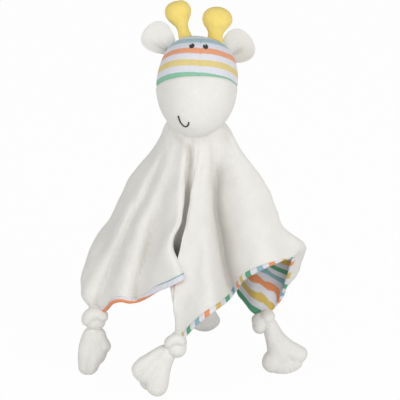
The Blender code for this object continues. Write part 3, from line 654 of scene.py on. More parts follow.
def build_blanket():
    """Grid of the cloth's middle, its normals, and the flat place of each point.

    The drape is eased along its rows, less and less towards the hem; then each point moves by
    normal * relief + view direction * valley depth.
    """
    turn, reach = hem_columns()
    distances = [part * reach for part in ROW_SHARES]
    distances += [reach - BINDING_WIDTH * part for part in BINDING_ROW_SHARES]
    distances = np.array(distances)
    grid = np.array([cloth_points(turn, reach, row) for row in distances])
    turns = np.broadcast_to(turn, distances.shape)
    share = (distances / reach).mean(1)
    for step in range(EASING_PASSES):
        eased = (np.roll(grid, 1, 1) + 2 * grid + np.roll(grid, -1, 1)) / 4
        inner = (share < 1.0 - EASING_STEP_SHARE * step) & (distances.mean(1) > EASING_START)
        grid = np.where(inner[:, None, None], eased, grid)
    normals = unit(np.cross(np.gradient(grid, axis=0), np.roll(grid, -1, 1) - np.roll(grid, 1, 1)))
    calm = 1 - smoothstep((distances - (reach - HEM_CALM_WIDTH)) / HEM_CALM_WIDTH) * HEM_CALM
    lift = relief(turns, distances) * calm
    sunk = valley_depth(grid, turns)
    return grid + normals * lift[..., None] + sunk[..., None] * LOOK, normals, turns, distances


GRID, NORMALS, TURNS, DISTANCES = build_blanket()

# Place across the stripes at flat angles along the front right hem, in mm
HEM_STRIPES = np.array((
    (90.0, 150), (91.5, 112), (93.5, 96), (97.3, 82.5), (102, 71), (107.2, 59.5), (112, 48),
    (118.5, 36.5), (123.5, 25), (127.5, 13.5), (130, 2), (132.7, -9.5), (137.7, -21), (141, -32.5),
    (146, -44), (150, -55.5), (154, -67), (158, -78.5), (164.5, -90), (168.5, -101.5),
    (171.5, -113), (174, -124.5), (177, -136), (180.0, -149),
))
HEM_BLUR = 0.006

# Section of a hem strip from its edge on the velour, round the hem, to its edge on the lining:
# place beyond the hem and height over the cloth's middle, in mm
STRIP_SECTION = MM * np.array((
    (-4.6, 1.1), (-4.2, 1.8), (-2.76, 2.0), (-1.15, 2.0), (0.2, 1.7), (1.0, 0.8), (1.2, 0.0),
    (0.9, -0.5), (0.0, -1.2), (-1.84, -1.4), (-3.91, -1.3), (-4.6, -0.8), (-4.6, 0.0), (-4.6, 1.1),
))
STRIP_FOLD = 6
STRIP_ENDS = 3
STITCH_PITCH = 0.0042
STITCH_PUFF_SHARE = 0.12

# Where the front right strip is turned in: share at a place and its width, then share past an
# angle and the degrees over which it sets in
TURNED_IN = (0.62, 146.0, 9.0)
TURNED_IN_AFTER = (0.65, 160.0, 6.0)
# The stripes of the left front strip move over from one to the next about an angle
LEFT_STRIPE = (0.0004, 0.0042, 22.0, 12.0)
# Place across the stripes of the right back strip at its fold, and its change per metre round
BACK_STRIPE = (-0.1475, 0.1)


def hem_cloth_places():
    """Place in the printed cloth of each hem column: the stripes run along the hem as they are cut,
    counted by the length of the hem as it hangs."""
    turn = TURNS[-1]
    step = np.linalg.norm(np.roll(GRID[-1], -1, 0) - GRID[-1], axis=1)
    length = np.concatenate(([0], np.cumsum(step)[:-1]))
    side = (turn // 90).astype(int)
    start = np.interp(np.arange(4) * 90.0, turn, length)
    end = np.append(start[1:], step.sum())
    along = ((length - start[side]) / (end - start)[side] - 0.5) * 2 * HALF_SIDE
    stripe = np.interp(turn, HEM_STRIPES[:, 0], HEM_STRIPES[:, 1] * MM)
    sides = [side == 0, side == 1, side == 2]
    u = np.select(sides, [-along, np.full_like(along, -HALF_SIDE), along], HALF_SIDE)
    v = np.select(sides, [np.full_like(along, HALF_SIDE), stripe, -HALF_SIDE], along)
    gap = np.abs(length[:, None] - length[None])
    near = bell(np.minimum(gap, step.sum() - gap), 0, HEM_BLUR) * step[None]
    return (near @ np.stack((u, v), -1)) / near.sum(1, keepdims=True)


CLOTH_PLACES = hem_cloth_places()


def cloth_layer(name, offset, wall, material):
    """One layer of the blanket, from its middle point out to the hem."""
    grid = GRID + NORMALS * offset
    middle = grid[:1].mean(1, keepdims=True)
    grid = np.concatenate((np.repeat(middle, grid.shape[1], 1), grid))
    grid = np.concatenate((grid, grid[:, :1]), 1)
    share = DISTANCES / DISTANCES[-1:]
    share = np.concatenate((share[:1] * 0, share))[..., None]
    uv = CLOTH_PLACES[None] * share
    seam_gap = 0.05
    last = np.where(np.abs(uv[:, :1] - uv[:, -1:]) > seam_gap, uv[:, -1:], uv[:, :1])
    return shell(grid_piece(name, grid, material, np.concatenate((uv, last), 1)), wall)


def hem_strip(name, side):
    """Jersey strip folded round one hem: a flat U section carried along the edge of the cloth."""
    first = side * (SIDE_COLUMNS + 1) + STRIP_ENDS
    columns = np.arange(first, first + SIDE_COLUMNS - STRIP_ENDS - 1)
    edge, inner = GRID[-1, columns], GRID[-1 - len(BINDING_ROW_SHARES), columns]
    outward = unit(edge - inner)
    turn = TURNS[-1, columns]
    turned_in = np.ones(len(columns))
    if side == 1:
        share, angle, spread = TURNED_IN
        turned_in -= share * bell(turn, angle, spread)
        share, angle, spread = TURNED_IN_AFTER
        turned_in -= share * smoothstep((turn - angle) / spread)
    beyond, height = STRIP_SECTION[:, :1], STRIP_SECTION[:, 1:]
    puff = 1 + STITCH_PUFF_SHARE * np.sin(run_length(edge) / STITCH_PITCH * 2 * np.pi) * (height > 0)
    points = (
        edge[None] + beyond[..., None] * (turned_in[:, None] * outward)[None]
        + (height * puff)[:, :, None] * NORMALS[-1, columns][None]
    )
    wrap = run_length(STRIP_SECTION)
    wrap = (wrap - wrap[STRIP_FOLD])[:, None]
    x, y = flat_xy(90.0 * side + 45.0, 1.0)
    uv = CLOTH_PLACES[columns][None] - wrap[..., None] * np.array((x - y, x + y)) / np.sqrt(2)
    if side == 0:
        start, height, angle, spread = LEFT_STRIPE
        uv[..., 1] += start + height * smoothstep((turn - angle) / spread)
    if side == 2:
        uv[..., 1] = BACK_STRIPE[0] + BACK_STRIPE[1] * wrap
    return grid_piece(name, points, BINDING, uv)


outer = cloth_layer("blanket_velour", VELOUR_FACE, VELOUR_WALL, CREAM)
lining = cloth_layer("blanket_striped_lining", JERSEY_FACE, JERSEY_WALL, LINING)
placed(outer, "cream_velour", "blanket_outer", body="blanket")
placed(lining, "striped_jersey", "blanket_lining", body="blanket")
strips = [
    placed(hem_strip("hem_strip_" + name, side), "binding_jersey", "hem_binding_" + name, body="blanket")
    for side, name in enumerate(("left_front", "front_right", "right_back", "back_left"))
]

# Knots and free ends


def sphere_ways(rows, columns):
    """Unit vectors over a ball, pole to pole, the last column on the first."""
    tilt = np.linspace(0, np.pi, rows)[:, None]
    turn = np.linspace(0, 2 * np.pi, columns)[None]
    return np.stack(
        (np.sin(tilt) * np.cos(turn), np.sin(tilt) * np.sin(turn), np.cos(tilt) + 0 * turn), -1
    )


def oval(centre, halves, rows=24, columns=33):
    """An egg-like ball with three half sizes."""
    return np.asarray(centre) + sphere_ways(rows, columns) * np.asarray(halves)


def rounded_ends(length, start, end):
    """Share of the full width along a lobe: elliptical over a length at its start and its end."""
    opening = np.sqrt(np.clip(1 - np.clip(1 - length / start, 0, 1) ** 2, 0, 1))
    closing = np.sqrt(np.clip(1 - np.clip(1 - (length[-1] - length) / end, 0, 1) ** 2, 0, 1))
    return opening * closing


def lobe(spots, depths, halves, thick, creases=(), steps=34, columns=49):
    """A padded flap: an oval section swept through picture places, closed round at both ends.

    Half widths and half thicknesses are in picture places. Each crease is a place across
    (-1 to 1), its width and the share of the thickness it takes at the front, a fifth of that at
    the back; it deepens from the narrow end to the wide one.
    """
    path = seen(spots, depths)
    knots = np.linspace(0, 1, len(path))
    ways = (1 - np.cos(np.linspace(0, np.pi, steps))) / 2
    middle = spline(knots, path, ways)
    wide = spline(knots, np.asarray(halves, float) * PX, ways)
    deep = spline(knots, np.asarray(thick, float) * PX, ways)
    ends = rounded_ends(run_length(middle), (wide[0] + deep[0]) / 2, (wide[-1] + deep[-1]) / 2)
    tangent = unit(np.gradient(middle, axis=0))
    across = unit(np.cross(tangent, -LOOK))
    face = unit(np.cross(across, tangent))
    turn = np.linspace(0, 2 * np.pi, columns)
    groove = np.ones((steps, columns))
    for place, width, share in creases:
        front = 0.6 + 0.4 * np.sign(np.sin(turn))
        groove -= share * smoothstep(ways / 0.5)[:, None] * (bell(np.cos(turn), place, width) * front)[None]
    return (
        middle[:, None] + (wide * ends)[:, None, None] * np.cos(turn)[None, :, None] * across[:, None]
        + ((deep * ends)[:, None] * np.sin(turn)[None] * groove)[..., None] * face[:, None]
    )


def ease_folds(item, depth, wavelength, seed):
    """Moves the points in and out a little, as cloth that was pulled tight, none below the floor."""
    mesh = item.data
    count = len(mesh.vertices)
    place, normal = np.empty(count * 3), np.empty(count * 3)
    mesh.vertices.foreach_get("co", place)
    mesh.vertices.foreach_get("normal", normal)
    place, normal = place.reshape(-1, 3), normal.reshape(-1, 3)
    place = place + normal * (depth * ripple(place, wavelength, seed))[:, None]
    place[:, 2] = np.maximum(place[:, 2], 0.0)
    mesh.vertices.foreach_set("co", place.ravel())
    mesh.update()


def corner_piece(name, shapes, body, node, seed):
    """A knot or a free end: one velour skin over its lobes."""
    item = fused(name, shapes, CREAM)
    ease_folds(item, depth=0.00022, wavelength=0.013, seed=seed)
    return placed(item, "cream_velour", node, body=body)


# Depth of each knotted corner along +Y
left_y, front_y, right_y, back_y = -0.0198, -0.0790, -0.0161, 0.0782
knots = [
    corner_piece("left_knot_ball", [
        lobe([(97, 305), (95, 316), (93, 330)], left_y, (5, 10, 8), (5, 9, 9)),
        lobe([(84, 325), (90, 316), (99, 314), (107, 320)], left_y - 0.003, (5, 7, 7, 5), (6, 8, 8, 6)),
        oval(seen((95, 322), left_y), (10.5 * PX, 0.0080, 0.0080)),
    ], "blanket", "left_knot", 31),
    corner_piece("front_knot_ball", [
        lobe([(178, 330), (178, 342), (176, 350)], front_y, (5, 9, 7), (5, 9, 8)),
        lobe([(167, 348), (170, 342), (177, 339), (185, 344)], front_y - 0.004, (4, 5.5, 6, 5), (6, 8, 8, 6)),
        oval(seen((176.5, 348), front_y), (10.0 * PX, 0.0095, 0.0088)),
    ], "blanket", "front_knot", 32),
    corner_piece("right_knot_ball", [
        lobe([(261, 313), (260, 320), (259.5, 328)], right_y, (6, 8.5, 7), (6, 9, 8)),
        oval(seen((259.5, 325), right_y), (7.6 * PX, 0.0088, 0.0080)),
        lobe([(266, 309), (267, 316), (269, 324)], right_y, (6, 8, 7), (6, 8.5, 8)),
    ], "blanket", "right_knot", 33),
    corner_piece("back_knot_ball", [
        oval(BACK_KNOT, (0.0100, 0.0095, 0.0105)),
        oval(BACK_KNOT + np.array((0.002, 0.003, 0.002)), (0.0085, 0.0090, 0.0080)),
    ], "blanket", "back_knot", 34),
]
tails = [
    corner_piece("left_free_end", [
        lobe([(94, 326), (92, 340), (90.5, 354), (88, 366), (87, 375)], left_y,
             (7, 11.5, 12.5, 10.5, 8.5), (7, 8, 9.5, 9, 7), [(-0.1, 0.3, 0.25)]),
        lobe([(97, 327), (98, 340), (97, 352), (92, 364)], left_y + 0.001,
             (7, 8, 10.5, 7), (7, 8, 9, 7)),
        lobe([(98, 329), (101, 339), (104, 347), (107, 353)], left_y + 0.001,
             (6, 6.5, 7.5, 5.5), (6, 7, 7.5, 5)),
    ], "left_end", "left_tail", 41),
    corner_piece("front_free_end", [
        lobe([(172, 348), (161, 355), (148, 367), (136, 379)], front_y,
             (7, 8.5, 12.5, 13), (7, 8.5, 10, 8), [(0.2, 0.35, 0.25)]),
        lobe([(171, 350), (161, 363), (152, 378), (147, 390)], front_y + 0.006,
             (7, 8.5, 12, 10), (4, 4, 4, 4)),
        lobe([(171, 350), (163, 366), (158, 382), (155.5, 396)], front_y - 0.001,
             (7, 8.5, 11, 9.5), (7, 8.5, 10, 8)),
    ], "front_end", "front_tail", 42),
    corner_piece("right_free_end", [
        lobe([(269.5, 319), (272, 327), (277, 338), (287, 348.5), (307, 357.5)], right_y,
             (5.5, 7, 8.5, 9.5, 8), (6, 8, 9, 8, 6)),
        lobe([(268, 322), (274, 338), (283, 353), (287, 374)], right_y - 0.001,
             (7, 9, 16, 18.5), (8, 9, 9, 6.5), [(-0.38, 0.2, 0.4)]),
        lobe([(269, 326), (272, 341), (275, 352), (273, 362), (276, 372)], right_y - 0.001,
             (6, 6, 8.5, 11, 8), (7, 8, 9, 9, 7)),
    ], "right_end", "right_tail", 43),
    corner_piece("back_free_end", [
        lobe([(201, 298), (203, 308), (205, 322), (206, 331)], back_y, (7, 10, 15.5, 11), (7, 9, 10, 7)),
    ], "back_end", "back_tail", 44),
]

# Head


SEAM_RISE = 0.0024
SEAM_TILT = 0.0014
SEAM_DEPTH = 0.0007
SEAM_WIDTH = 0.0013
CROWN_SEAM_DEPTH = 0.0009
CROWN_SEAM_WIDTHS = (0.025, 0.03, 0.03)
HEAD_LUMPS = (0.00045, 0.030, 21)
# The cap's print: how far and from where it draws in towards the crown, and how it follows the seam
CROWN_DRAW = (0.0035, 0.028, 0.020)
SEAM_FOLLOW = (0.75, 0.003)


def seam_height(turn):
    """Height of the cap's seam on the head's axis, all round: a slightly tilted circle."""
    return SEAM_RISE * np.sin(turn) - SEAM_TILT * np.cos(turn)


def head_grid(upper, rows=90, columns=181, shrink=0.0):
    """Soft stuffed half of the head in the frame, and its UV: arc round and up from the seam.

    Heights go from the seam to the pole; at each the radius is that of the superellipse.
    """
    turn = np.linspace(0, 2 * np.pi, columns)
    way = np.sin(np.linspace(0, np.pi / 2, rows))[:, None]
    scale = 1 - shrink / HEAD_RADIUS
    length = (CROWN_LENGTH if upper else -MUZZLE_LENGTH) * scale
    start = seam_height(turn)[None] if shrink == 0.0 else 0.0 * turn[None]
    height = start + (length - start) * way
    radius = egg_radius(height / scale) * scale
    radius[-1] = 0.0
    arc = np.cumsum(np.hypot(np.diff(radius, axis=0), np.diff(height, axis=0)), axis=0)
    arc = np.concatenate((0 * turn[None], arc))
    seam = SEAM_DEPTH * bell(arc, 0.0, SEAM_WIDTH)
    middle = np.zeros_like(turn)
    if upper:
        places = zip((0, 2 * np.pi, np.pi), CROWN_SEAM_WIDTHS)
        middle = CROWN_SEAM_DEPTH * sum(bell(turn, place, width) for place, width in places)
    fade = np.clip(radius / HEAD_RADIUS, 0, 1)
    local = np.stack((radius * np.sin(turn)[None], -radius * np.cos(turn)[None], height), -1)
    inward = seam + middle[None] * fade**0.5
    height, wavelength, seed = HEAD_LUMPS
    lumps = height * ripple(local, wavelength, seed) * (shrink == 0.0)
    local = local + unit(local + 1e-12) * (lumps - inward)[..., None]
    share = arc / arc[-1:]
    draw, first, width = CROWN_DRAW
    stripes = arc + start * (1 - share) - draw * smoothstep((arc - first) / width)
    part, width = SEAM_FOLLOW
    stripes = stripes - part * np.clip(start, 0, None) * np.exp(-arc / width)
    around = turn[None] * HEAD_RADIUS + 0 * arc
    return HEAD_CENTRE + local @ HEAD_AXES.T, np.stack((around, stripes), -1)


def head_spot(degrees, station, lift=0.0):
    """Frame point on the egg at an angle from the front (positive to +X), and its normal."""
    around = np.radians(np.asarray(degrees, float))
    station = np.asarray(station, float)
    radius = egg_radius(station)
    step = HEAD_RADIUS / 1000
    slope = (egg_radius(station + step) - egg_radius(station - step)) / (2 * step)
    outward = unit(np.stack((np.sin(around), -np.cos(around), -slope), -1))
    local = np.stack((radius * np.sin(around), -radius * np.cos(around), station), -1) + outward * lift
    return HEAD_CENTRE + local @ HEAD_AXES.T, outward @ HEAD_AXES.T


HEAD_WALL = 0.0010
FILLING_GAP = 0.0015
points, uv = head_grid(True)
cap = shell(grid_piece("head_cap", points, CAP, uv), HEAD_WALL)
points, uv = head_grid(False)
muzzle = shell(grid_piece("head_muzzle", points, CREAM, uv), HEAD_WALL)
upper, _ = head_grid(True, rows=24, columns=49, shrink=FILLING_GAP)
lower, _ = head_grid(False, rows=24, columns=49, shrink=FILLING_GAP)
stuffing = grid_piece("head_filling", np.concatenate((upper[::-1], lower[1:])), FILLING)
placed(cap, "cap_jersey", "cap_left_panel", "cap_right_panel", body="head")
placed(muzzle, "cream_velour", "muzzle_panel", body="head")
placed(stuffing, "polyester_filling", "head_stuffing", body="head")


# Gathered neck: a stitched ring on the blanket, and a pleated sleeve from it up into the head
RING_RADIUS = 0.0118
RING_HEIGHT = 0.0040
RING_DROP = 0.0034
RING_FOLDS = 22
RING_FOLD_SHARE = 0.07
SLEEVE_DROP = 0.0050
SLEEVE_RISE = 0.0060
SLEEVE_RADIUS = 0.0096
SLEEVE_FLARE = 0.0016
SLEEVE_GROWTH = 0.0012
SLEEVE_FOLDS = 15
SLEEVE_FOLD_SHARE = 0.06


def stitched_ring():
    """A short puckered tube of cloth round the neck: a barrel outline with evenly drawn folds."""
    side = unit(np.cross(NECK_UP, VIEW_RIGHT))
    turn = np.linspace(0, 2 * np.pi, 193)[None]
    rise = np.linspace(0, np.pi, 20)[:, None]
    level = -np.cos(rise) * RING_HEIGHT / 2 - RING_DROP
    pleats = 1 + RING_FOLD_SHARE * np.sin(RING_FOLDS * turn + 0.8 * np.sin(3 * turn)) * np.sin(rise)
    reach = RING_RADIUS * np.sin(rise) ** 0.6 * pleats
    ring = circle(turn, side, np.cross(NECK_UP, side))
    points = NECK_CENTRE + level[..., None] * NECK_UP + reach[..., None] * ring
    return grid_piece("neck_stitched_ring", points, CREAM)


def neck_sleeve():
    """Gathered cloth from the ring on the blanket up into the head: a pinched tube of soft pleats
    whose mouth widens under the muzzle."""
    low, high = NECK_CENTRE - NECK_UP * SLEEVE_DROP, NECK_CENTRE - HEAD_AXES[:, 1] * SLEEVE_RISE
    rise = np.linspace(0, 1, 26)[:, None]
    turn = np.linspace(0, 2 * np.pi, 193)[None]
    axis = unit((1 - rise) * NECK_UP - rise * HEAD_AXES[:, 1])
    side = unit(np.cross(axis, VIEW_RIGHT))
    ends = np.clip(np.minimum(rise, 1 - rise) / 0.06, 0, 1) ** 0.5
    reach = (SLEEVE_RADIUS + SLEEVE_FLARE * (2 * rise - 1) ** 2 + SLEEVE_GROWTH * rise) * ends
    pleats = np.sin(SLEEVE_FOLDS * turn + 1.1 * np.sin(2 * turn)) * np.sin(np.pi * rise) ** 0.5
    ring = circle(turn, side[:, None], np.cross(axis, side)[:, None])
    reach = reach * (1 + SLEEVE_FOLD_SHARE * pleats)
    points = ((1 - rise) * low + rise * high)[:, None] + reach[..., None] * ring
    item = grid_piece("neck_gathered_cloth", points, CREAM)
    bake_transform(item)
    return item


placed(stitched_ring(), "cream_velour", "neck_collar", body="neck")
placed(neck_sleeve(), "cream_velour", "neck_gather")

EYE_SHARE = 0.617
EYE_HALVES = (0.0024, 0.0030)
EYE_DOME = 0.0009
EYE_BACK = 0.0006
# Size and place of the white dot that paints each eye's highlight
GLINT_HALVES = (0.00055, 0.00040, 0.00055)
GLINT_SPOT = (-0.0007, 0.0011, 0.0009)
THREAD_LIFT = 0.0003


def eye(name, degrees, node):
    """A low satin-stitched oval on the crown, its strands lying across it, with a small white dot on it as a
    painted highlight.
    """
    spot, outward = head_spot(degrees, EYE_SHARE * CROWN_LENGTH, THREAD_LIFT)
    side = unit(np.cross(HEAD_AXES[:, 2], outward))
    up = np.cross(outward, side)
    radius = np.linspace(0, 1, 14)[:, None]
    turn = np.linspace(0, 2 * np.pi, 49)[None]
    x, y = radius * np.cos(turn) * EYE_HALVES[0], radius * np.sin(turn) * EYE_HALVES[1]
    dome = EYE_DOME * np.sqrt(np.clip(1 - radius**2, 0, 1)) + 0 * turn
    oval_face = spot + x[..., None] * side + y[..., None] * up
    points = np.concatenate((oval_face + dome[..., None] * outward, (oval_face - EYE_BACK * outward)[::-1]))
    uv = np.stack((np.concatenate((x, x[::-1])), np.concatenate((y, y[::-1]))), -1)
    placed(grid_piece(name, points, BLACK, uv), "black_thread", node, body="head")
    # Painted highlight: a small white piece on the eye where its shine falls
    glint_spot = spot + np.array(GLINT_SPOT) @ np.array((side, up, outward))
    glint = oval(glint_spot, GLINT_HALVES, rows=10, columns=17)
    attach(grid_piece(name + "_glint", glint, PAINTED_HIGHLIGHT_WHITE), "head")


eye("left_eye_stitching", -14.2, "left_eye")
eye("right_eye_stitching", 8.2, "right_eye")

STITCHES = 9
STITCH_RADIUS = 0.00074


def stitch_line(name, degrees, shares, node):
    """A backstitched curve: short rounded stitches end to end along a line on the muzzle."""
    path, outward = head_spot(degrees, -np.asarray(shares) * MUZZLE_LENGTH, THREAD_LIFT)
    knots = np.linspace(0, 1, len(path))
    fine = np.linspace(0, 1, 181)
    middle, normal = spline(knots, path, fine), unit(spline(knots, outward, fine))
    tangent = unit(np.gradient(middle, axis=0))
    side = np.cross(normal, tangent)
    turn = np.linspace(0, 2 * np.pi, 13)
    beat = np.abs(np.sin(fine * STITCHES * np.pi))
    radius = STITCH_RADIUS * (0.76 + 0.28 * beat**0.5)
    radius[[0, -1]] = 0.0
    points = middle[:, None] + radius[:, None, None] * circle(turn[None], side[:, None], normal[:, None])
    uv = np.stack(np.broadcast_arrays(turn[None] * 0.0006, fine[:, None] * 0.03), -1)
    placed(grid_piece(name, points, GREY, uv), "grey_thread", node, body="head")


stitch_line(
    "smile_backstitch", (-40.5, -42.3, -43.2, -41.8, -37.0, -28.5, -21.5, -18.6),
    (0.747, 0.795, 0.842, 0.883, 0.910, 0.908, 0.884, 0.852), "smile_stitch",
)

# Horns

# Lean in degrees, distance from the head's axis and stalk radius of the left and the right horn
HORN_LEAN = (-19.0, 3.0)
HORN_OFFSET = (0.0130, 0.0118)
STALK = (0.0056, 0.0066)
HORN_DEPTH_SHARE = 0.85
KNOB_DROP = 0.0110
HORN_LUMPS = (0.0003, 0.016, 51)
HORN_WALL = 0.0014
SEWN_GAP = 0.0004
# Radius and height up each horn, in mm
HORN_OUTLINES = (
    ((6.6, -3.5), (6.0, 2.5), (5.3, 7.5), (5.2, 10.8), (6.2, 14.6), (8.0, 17.8), (10.2, 21.0),
     (11.6, 24.5), (11.7, 28.0), (10.6, 31.3), (8.2, 34.2), (4.6, 36.0), (0.0, 36.5)),
    ((8.0, -3.5), (7.2, 1.5), (6.6, 5.0), (7.0, 8.5), (8.9, 11.6), (11.6, 14.8), (13.4, 18.8),
     (13.4, 22.2), (12.0, 26.0), (9.3, 29.0), (5.0, 31.3), (0.0, 32.0)),
)


def crown_station(offset):
    """Height on the crown where the egg's radius is that offset."""
    return CROWN_LENGTH * (1 - (offset / HEAD_RADIUS) ** CROWN_FULLNESS) ** (1 / CROWN_FULLNESS)


def off_head(points, gap):
    """Moves the points that would be in the head out to just above its surface."""
    local = (points - HEAD_CENTRE) @ HEAD_AXES
    along = np.hypot(local[..., 0], local[..., 1]) / HEAD_RADIUS
    up = np.abs(local[..., 2]) / CROWN_LENGTH
    level = (along**CROWN_FULLNESS + up**CROWN_FULLNESS) ** (1 / CROWN_FULLNESS)
    length = np.linalg.norm(local, axis=-1)
    grown = np.maximum(1.0, (1 + gap / np.maximum(length, 0.01)) / np.maximum(level, 0.2))
    return HEAD_CENTRE + (local * grown[..., None]) @ HEAD_AXES.T


def horn_frame(which):
    """Foot of a horn on the crown, and its three axes."""
    side, stalk = 2 * which - 1, STALK[which]
    centre, _ = head_spot(90.0 * side, crown_station(HORN_OFFSET[which]), stalk + CLEARANCE)
    lean = np.array(Matrix.Rotation(np.radians(HORN_LEAN[which]), 3, "Y"))
    axes = HEAD_AXES @ lean
    return centre - axes[:, 2] * stalk, axes


def horn_points(which, shrink=0.0, rows=70, columns=65):
    """A turned pear outline, its foot fitted to the crown, slightly flattened front to back."""
    outline = np.array(HORN_OUTLINES[which]) * MM
    steps = run_length(outline)
    curve = spline(steps, outline, np.linspace(0, steps[-1], rows))
    radius, height = np.clip(curve[:, 0] - shrink, 0, None), curve[:, 1]
    height = np.clip(height, shrink, outline[-1, 1] - shrink) if shrink else height
    radius[-1] = 0.0
    turn = np.linspace(0, 2 * np.pi, columns)
    local = np.stack((
        radius[:, None] * np.cos(turn)[None], HORN_DEPTH_SHARE * radius[:, None] * np.sin(turn)[None],
        np.broadcast_to(height[:, None], (rows, columns)),
    ), -1)
    depth, wavelength, seed = HORN_LUMPS
    lumps = depth * ripple(local, wavelength, seed + which) * (shrink == 0.0)
    lumps = lumps * np.clip(radius / 0.006, 0, 1)[:, None]
    local = local + unit(local - (0, 0, outline[-1, 1] - KNOB_DROP)) * lumps[..., None]
    local = np.concatenate((local[:1] * (0, 0, 1), local))
    foot, axes = horn_frame(which)
    uv = np.stack(np.broadcast_arrays(turn[None] * 0.010, np.linspace(0, steps[-1], rows + 1)[:, None]), -1)
    return off_head(foot + local @ axes.T, SEWN_GAP + shrink), uv


def sewn_to_head(item):
    """Bakes the piece's placing into its mesh; its foot stays at the cap."""
    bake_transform(item)


for which, side in enumerate(("left", "right")):
    points, uv = horn_points(which)
    cover = grid_piece(side + "_horn_jersey", points, YELLOW, uv)
    sewn_to_head(cover)
    placed(cover, "yellow_jersey", side + "_horn_cover")
    points, uv = horn_points(which, HORN_WALL, rows=40, columns=33)
    core = grid_piece(side + "_horn_filling", points, FILLING, uv)
    sewn_to_head(core)
    placed(core, "polyester_filling", side + "_horn_stuffing")

# Ears

# Sizes and places of the left and the right ear: length, half width, angle round the head, gap
# to the cap and place of the fold at the root
EAR_LENGTH = (0.0280, 0.0290)
EAR_HALF = (0.0145, 0.0158)
EAR_ANGLES = (-96.0, 124.0)
EAR_STANDOFFS = (0.0009, 0.0017)
EAR_FOLDS = (-0.30, 0.10)
EAR_ROOT = 0.0082
EAR_HEIGHT_SHARE = 0.79
EAR_LIFT = np.radians(34.0)
EAR_TURN = np.radians(12.0)
EAR_WIDEST_SHARE = 0.52
EAR_EDGE = 0.0003
EAR_PAD = 0.0019
EAR_CUP = 0.0062
EAR_FOLD_DEPTH = 0.0042
EAR_FOLD_WIDTH = 0.20


def ear_frame(which):
    """Root of an ear on the side of the crown, and its axes: across, along, facing."""
    side = 2 * which - 1
    spot, _ = head_spot(EAR_ANGLES[which], EAR_HEIGHT_SHARE * CROWN_LENGTH, EAR_STANDOFFS[which])
    along = np.array((side * np.cos(EAR_LIFT), 0, np.sin(EAR_LIFT)))
    facing = np.array((side * np.sin(EAR_TURN), -np.cos(EAR_TURN), 0))
    facing = unit(facing - along * (facing @ along))
    wide = np.cross(along, facing)
    return spot, HEAD_AXES @ np.stack((wide, along, facing), 1)


def ear_points(which, rows=60, columns=61):
    """Two velour leaves sewn edge to edge: a leaf outline, cupped forward, folded at its root."""
    share = np.linspace(0, 1, rows)[:, None]
    widest, middle = EAR_HALF[which], EAR_WIDEST_SHARE
    rising = EAR_ROOT + (widest - EAR_ROOT) * np.sin(np.pi / 2 * np.clip(share / middle, 0, 1))
    falling = widest * np.clip(1 - (np.clip(share - middle, 0, 1) / (1 - middle)) ** 2.3, 0, 1) ** 0.5
    half = np.where(share < middle, rising, falling)
    across = np.linspace(-1, 1, columns)[None]
    pad = np.sqrt(np.clip(1 - across**2, 0, 1)) * np.sqrt(np.clip(1 - share**6, 0, 1))
    wall = EAR_EDGE + EAR_PAD * pad * smoothstep(share / 0.25)
    cup = EAR_CUP * np.abs(across) ** 2.2 * np.clip(np.sin(np.pi * share), 0, 1) ** 0.8
    fold = EAR_FOLD_DEPTH * bell(across, EAR_FOLDS[which] * (1 - 0.5 * share), EAR_FOLD_WIDTH)
    fold = fold * (1 - smoothstep((share - 0.25) / 0.5))
    along = share * EAR_LENGTH[which]
    faces = [
        np.stack(np.broadcast_arrays(half * across, along, cup + side * wall - fold), -1) for side in (1, -1)
    ]
    local = np.concatenate((faces[0], faces[1][:, ::-1]), 1)
    local = np.concatenate((local, local[:, :1]), 1)
    ends = local.mean(1, keepdims=True)
    ends = np.repeat(ends, local.shape[1], 1)
    local = np.concatenate((ends[:1], local, ends[-1:]))
    spot, axes = ear_frame(which)
    return off_head(spot + local @ axes.T, SEWN_GAP)


for which, side in enumerate(("left", "right")):
    ear = grid_piece(side + "_ear_velour", ear_points(which), CREAM)
    sewn_to_head(ear)
    placed(ear, "cream_velour", side + "_ear_front", side + "_ear_back")

# Room, light and camera


GLOW_SHARE = 0.97
FLOOR_REACH = 6.0
FLOOR_DROP = 0.0002
WORLD_LIGHT = 0.50
LIGHT_AIM = (0.0, 0.0, 0.16)
SENSOR = 36.0


def floor_finish():
    """White paper: seen nearly white by the camera, with a faint trace of the object's shadow."""
    finish = Finish("paper_white")
    grain = finish.noise(finish.coordinates(), 60.0, 3.0)
    paper = finish.node("RGB")
    paper.outputs[0].default_value = (0.86, 0.86, 0.86, 1.0)
    finish.surface(finish.shade(paper.outputs[0], grain, low=0.99), roughness=1.0, specular=0.0)
    glow = finish.node("Emission")
    glow.inputs["Color"].default_value = (1.0, 1.0, 1.0, 1.0)
    path = finish.node("LightPath")
    any_ray = finish.math("MAXIMUM", path.outputs["Is Camera Ray"], path.outputs["Is Glossy Ray"])
    any_ray = finish.math("MAXIMUM", any_ray, path.outputs["Is Transmission Ray"])
    mix = finish.node("MixShader")
    finish.join(finish.math("MULTIPLY", any_ray, GLOW_SHARE), mix.inputs["Fac"])
    finish.join(finish.shader.outputs[0], mix.inputs[1])
    finish.join(glow.outputs[0], mix.inputs[2])
    finish.join(mix.outputs[0], finish.tree.nodes["Material Output"].inputs["Surface"])
    return finish.material


def floor():
    """A wide flat floor."""
    reach = np.array((-FLOOR_REACH, FLOOR_REACH))
    x, y = np.meshgrid(reach, reach, indexing="ij")
    points = np.stack((x, y, np.full_like(x, -FLOOR_DROP)), -1)
    item = grid_piece("studio_floor", points, floor_finish())
    if item.data.polygons[0].normal.z < 0:
        item.data.flip_normals()


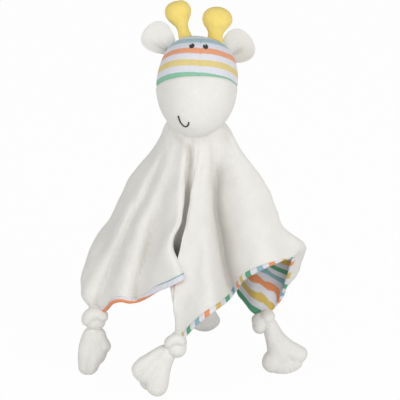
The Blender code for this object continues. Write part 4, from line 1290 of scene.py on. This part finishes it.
def area_light(name, spot, size, power):
    """A square soft box aimed at the object."""
    lamp = bpy.data.lights.new(name, "AREA")
    lamp.shape = "SQUARE"
    lamp.size = size
    lamp.energy = power
    item = bpy.data.objects.new(name, lamp)
    item.location = spot
    item.rotation_euler = (Vector(LIGHT_AIM) - Vector(spot)).to_track_quat("-Z", "Y").to_euler()
    bpy.context.scene.collection.objects.link(item)


def white_world():
    """Soft light from all round on the object, and plain white for the camera and reflections."""
    world = bpy.context.scene.world or bpy.data.worlds.new("studio")
    bpy.context.scene.world = world
    world.use_nodes = True
    tree = world.node_tree
    tree.nodes.clear()
    mix = tree.nodes.new("ShaderNodeMixShader")
    for index, strength in ((1, WORLD_LIGHT), (2, 1.0)):
        white = tree.nodes.new("ShaderNodeBackground")
        white.inputs["Color"].default_value = (1.0, 1.0, 1.0, 1.0)
        white.inputs["Strength"].default_value = strength
        tree.links.new(white.outputs[0], mix.inputs[index])
    path = tree.nodes.new("ShaderNodeLightPath")
    either = tree.nodes.new("ShaderNodeMath")
    either.operation = "MAXIMUM"
    tree.links.new(path.outputs["Is Camera Ray"], either.inputs[0])
    tree.links.new(path.outputs["Is Glossy Ray"], either.inputs[1])
    tree.links.new(either.outputs[0], mix.inputs["Fac"])
    result = tree.nodes.new("ShaderNodeOutputWorld")
    tree.links.new(mix.outputs[0], result.inputs["Surface"])


def picture_camera():
    """The camera that sees the object as the photograph does."""
    lens = bpy.data.cameras.new("camera")
    lens.sensor_width = SENSOR
    lens.lens = SENSOR * CAMERA_DISTANCE / VIEW_WIDTH
    lens.clip_start = 0.05
    lens.clip_end = 100.0
    item = bpy.data.objects.new("camera", lens)
    item.location = CAMERA_SPOT
    item.rotation_euler = Vector(LOOK).to_track_quat("-Z", "Y").to_euler()
    bpy.context.scene.collection.objects.link(item)
    bpy.context.scene.camera = item


floor()
area_light("key_soft_box", (1.7, -2.3, 1.3), size=2.2, power=47.0)
area_light("fill_soft_box", (-1.9, -1.9, 0.8), size=2.2, power=27.0)
white_world()
picture_camera()
bpy.context.scene.view_settings.view_transform = "Standard"
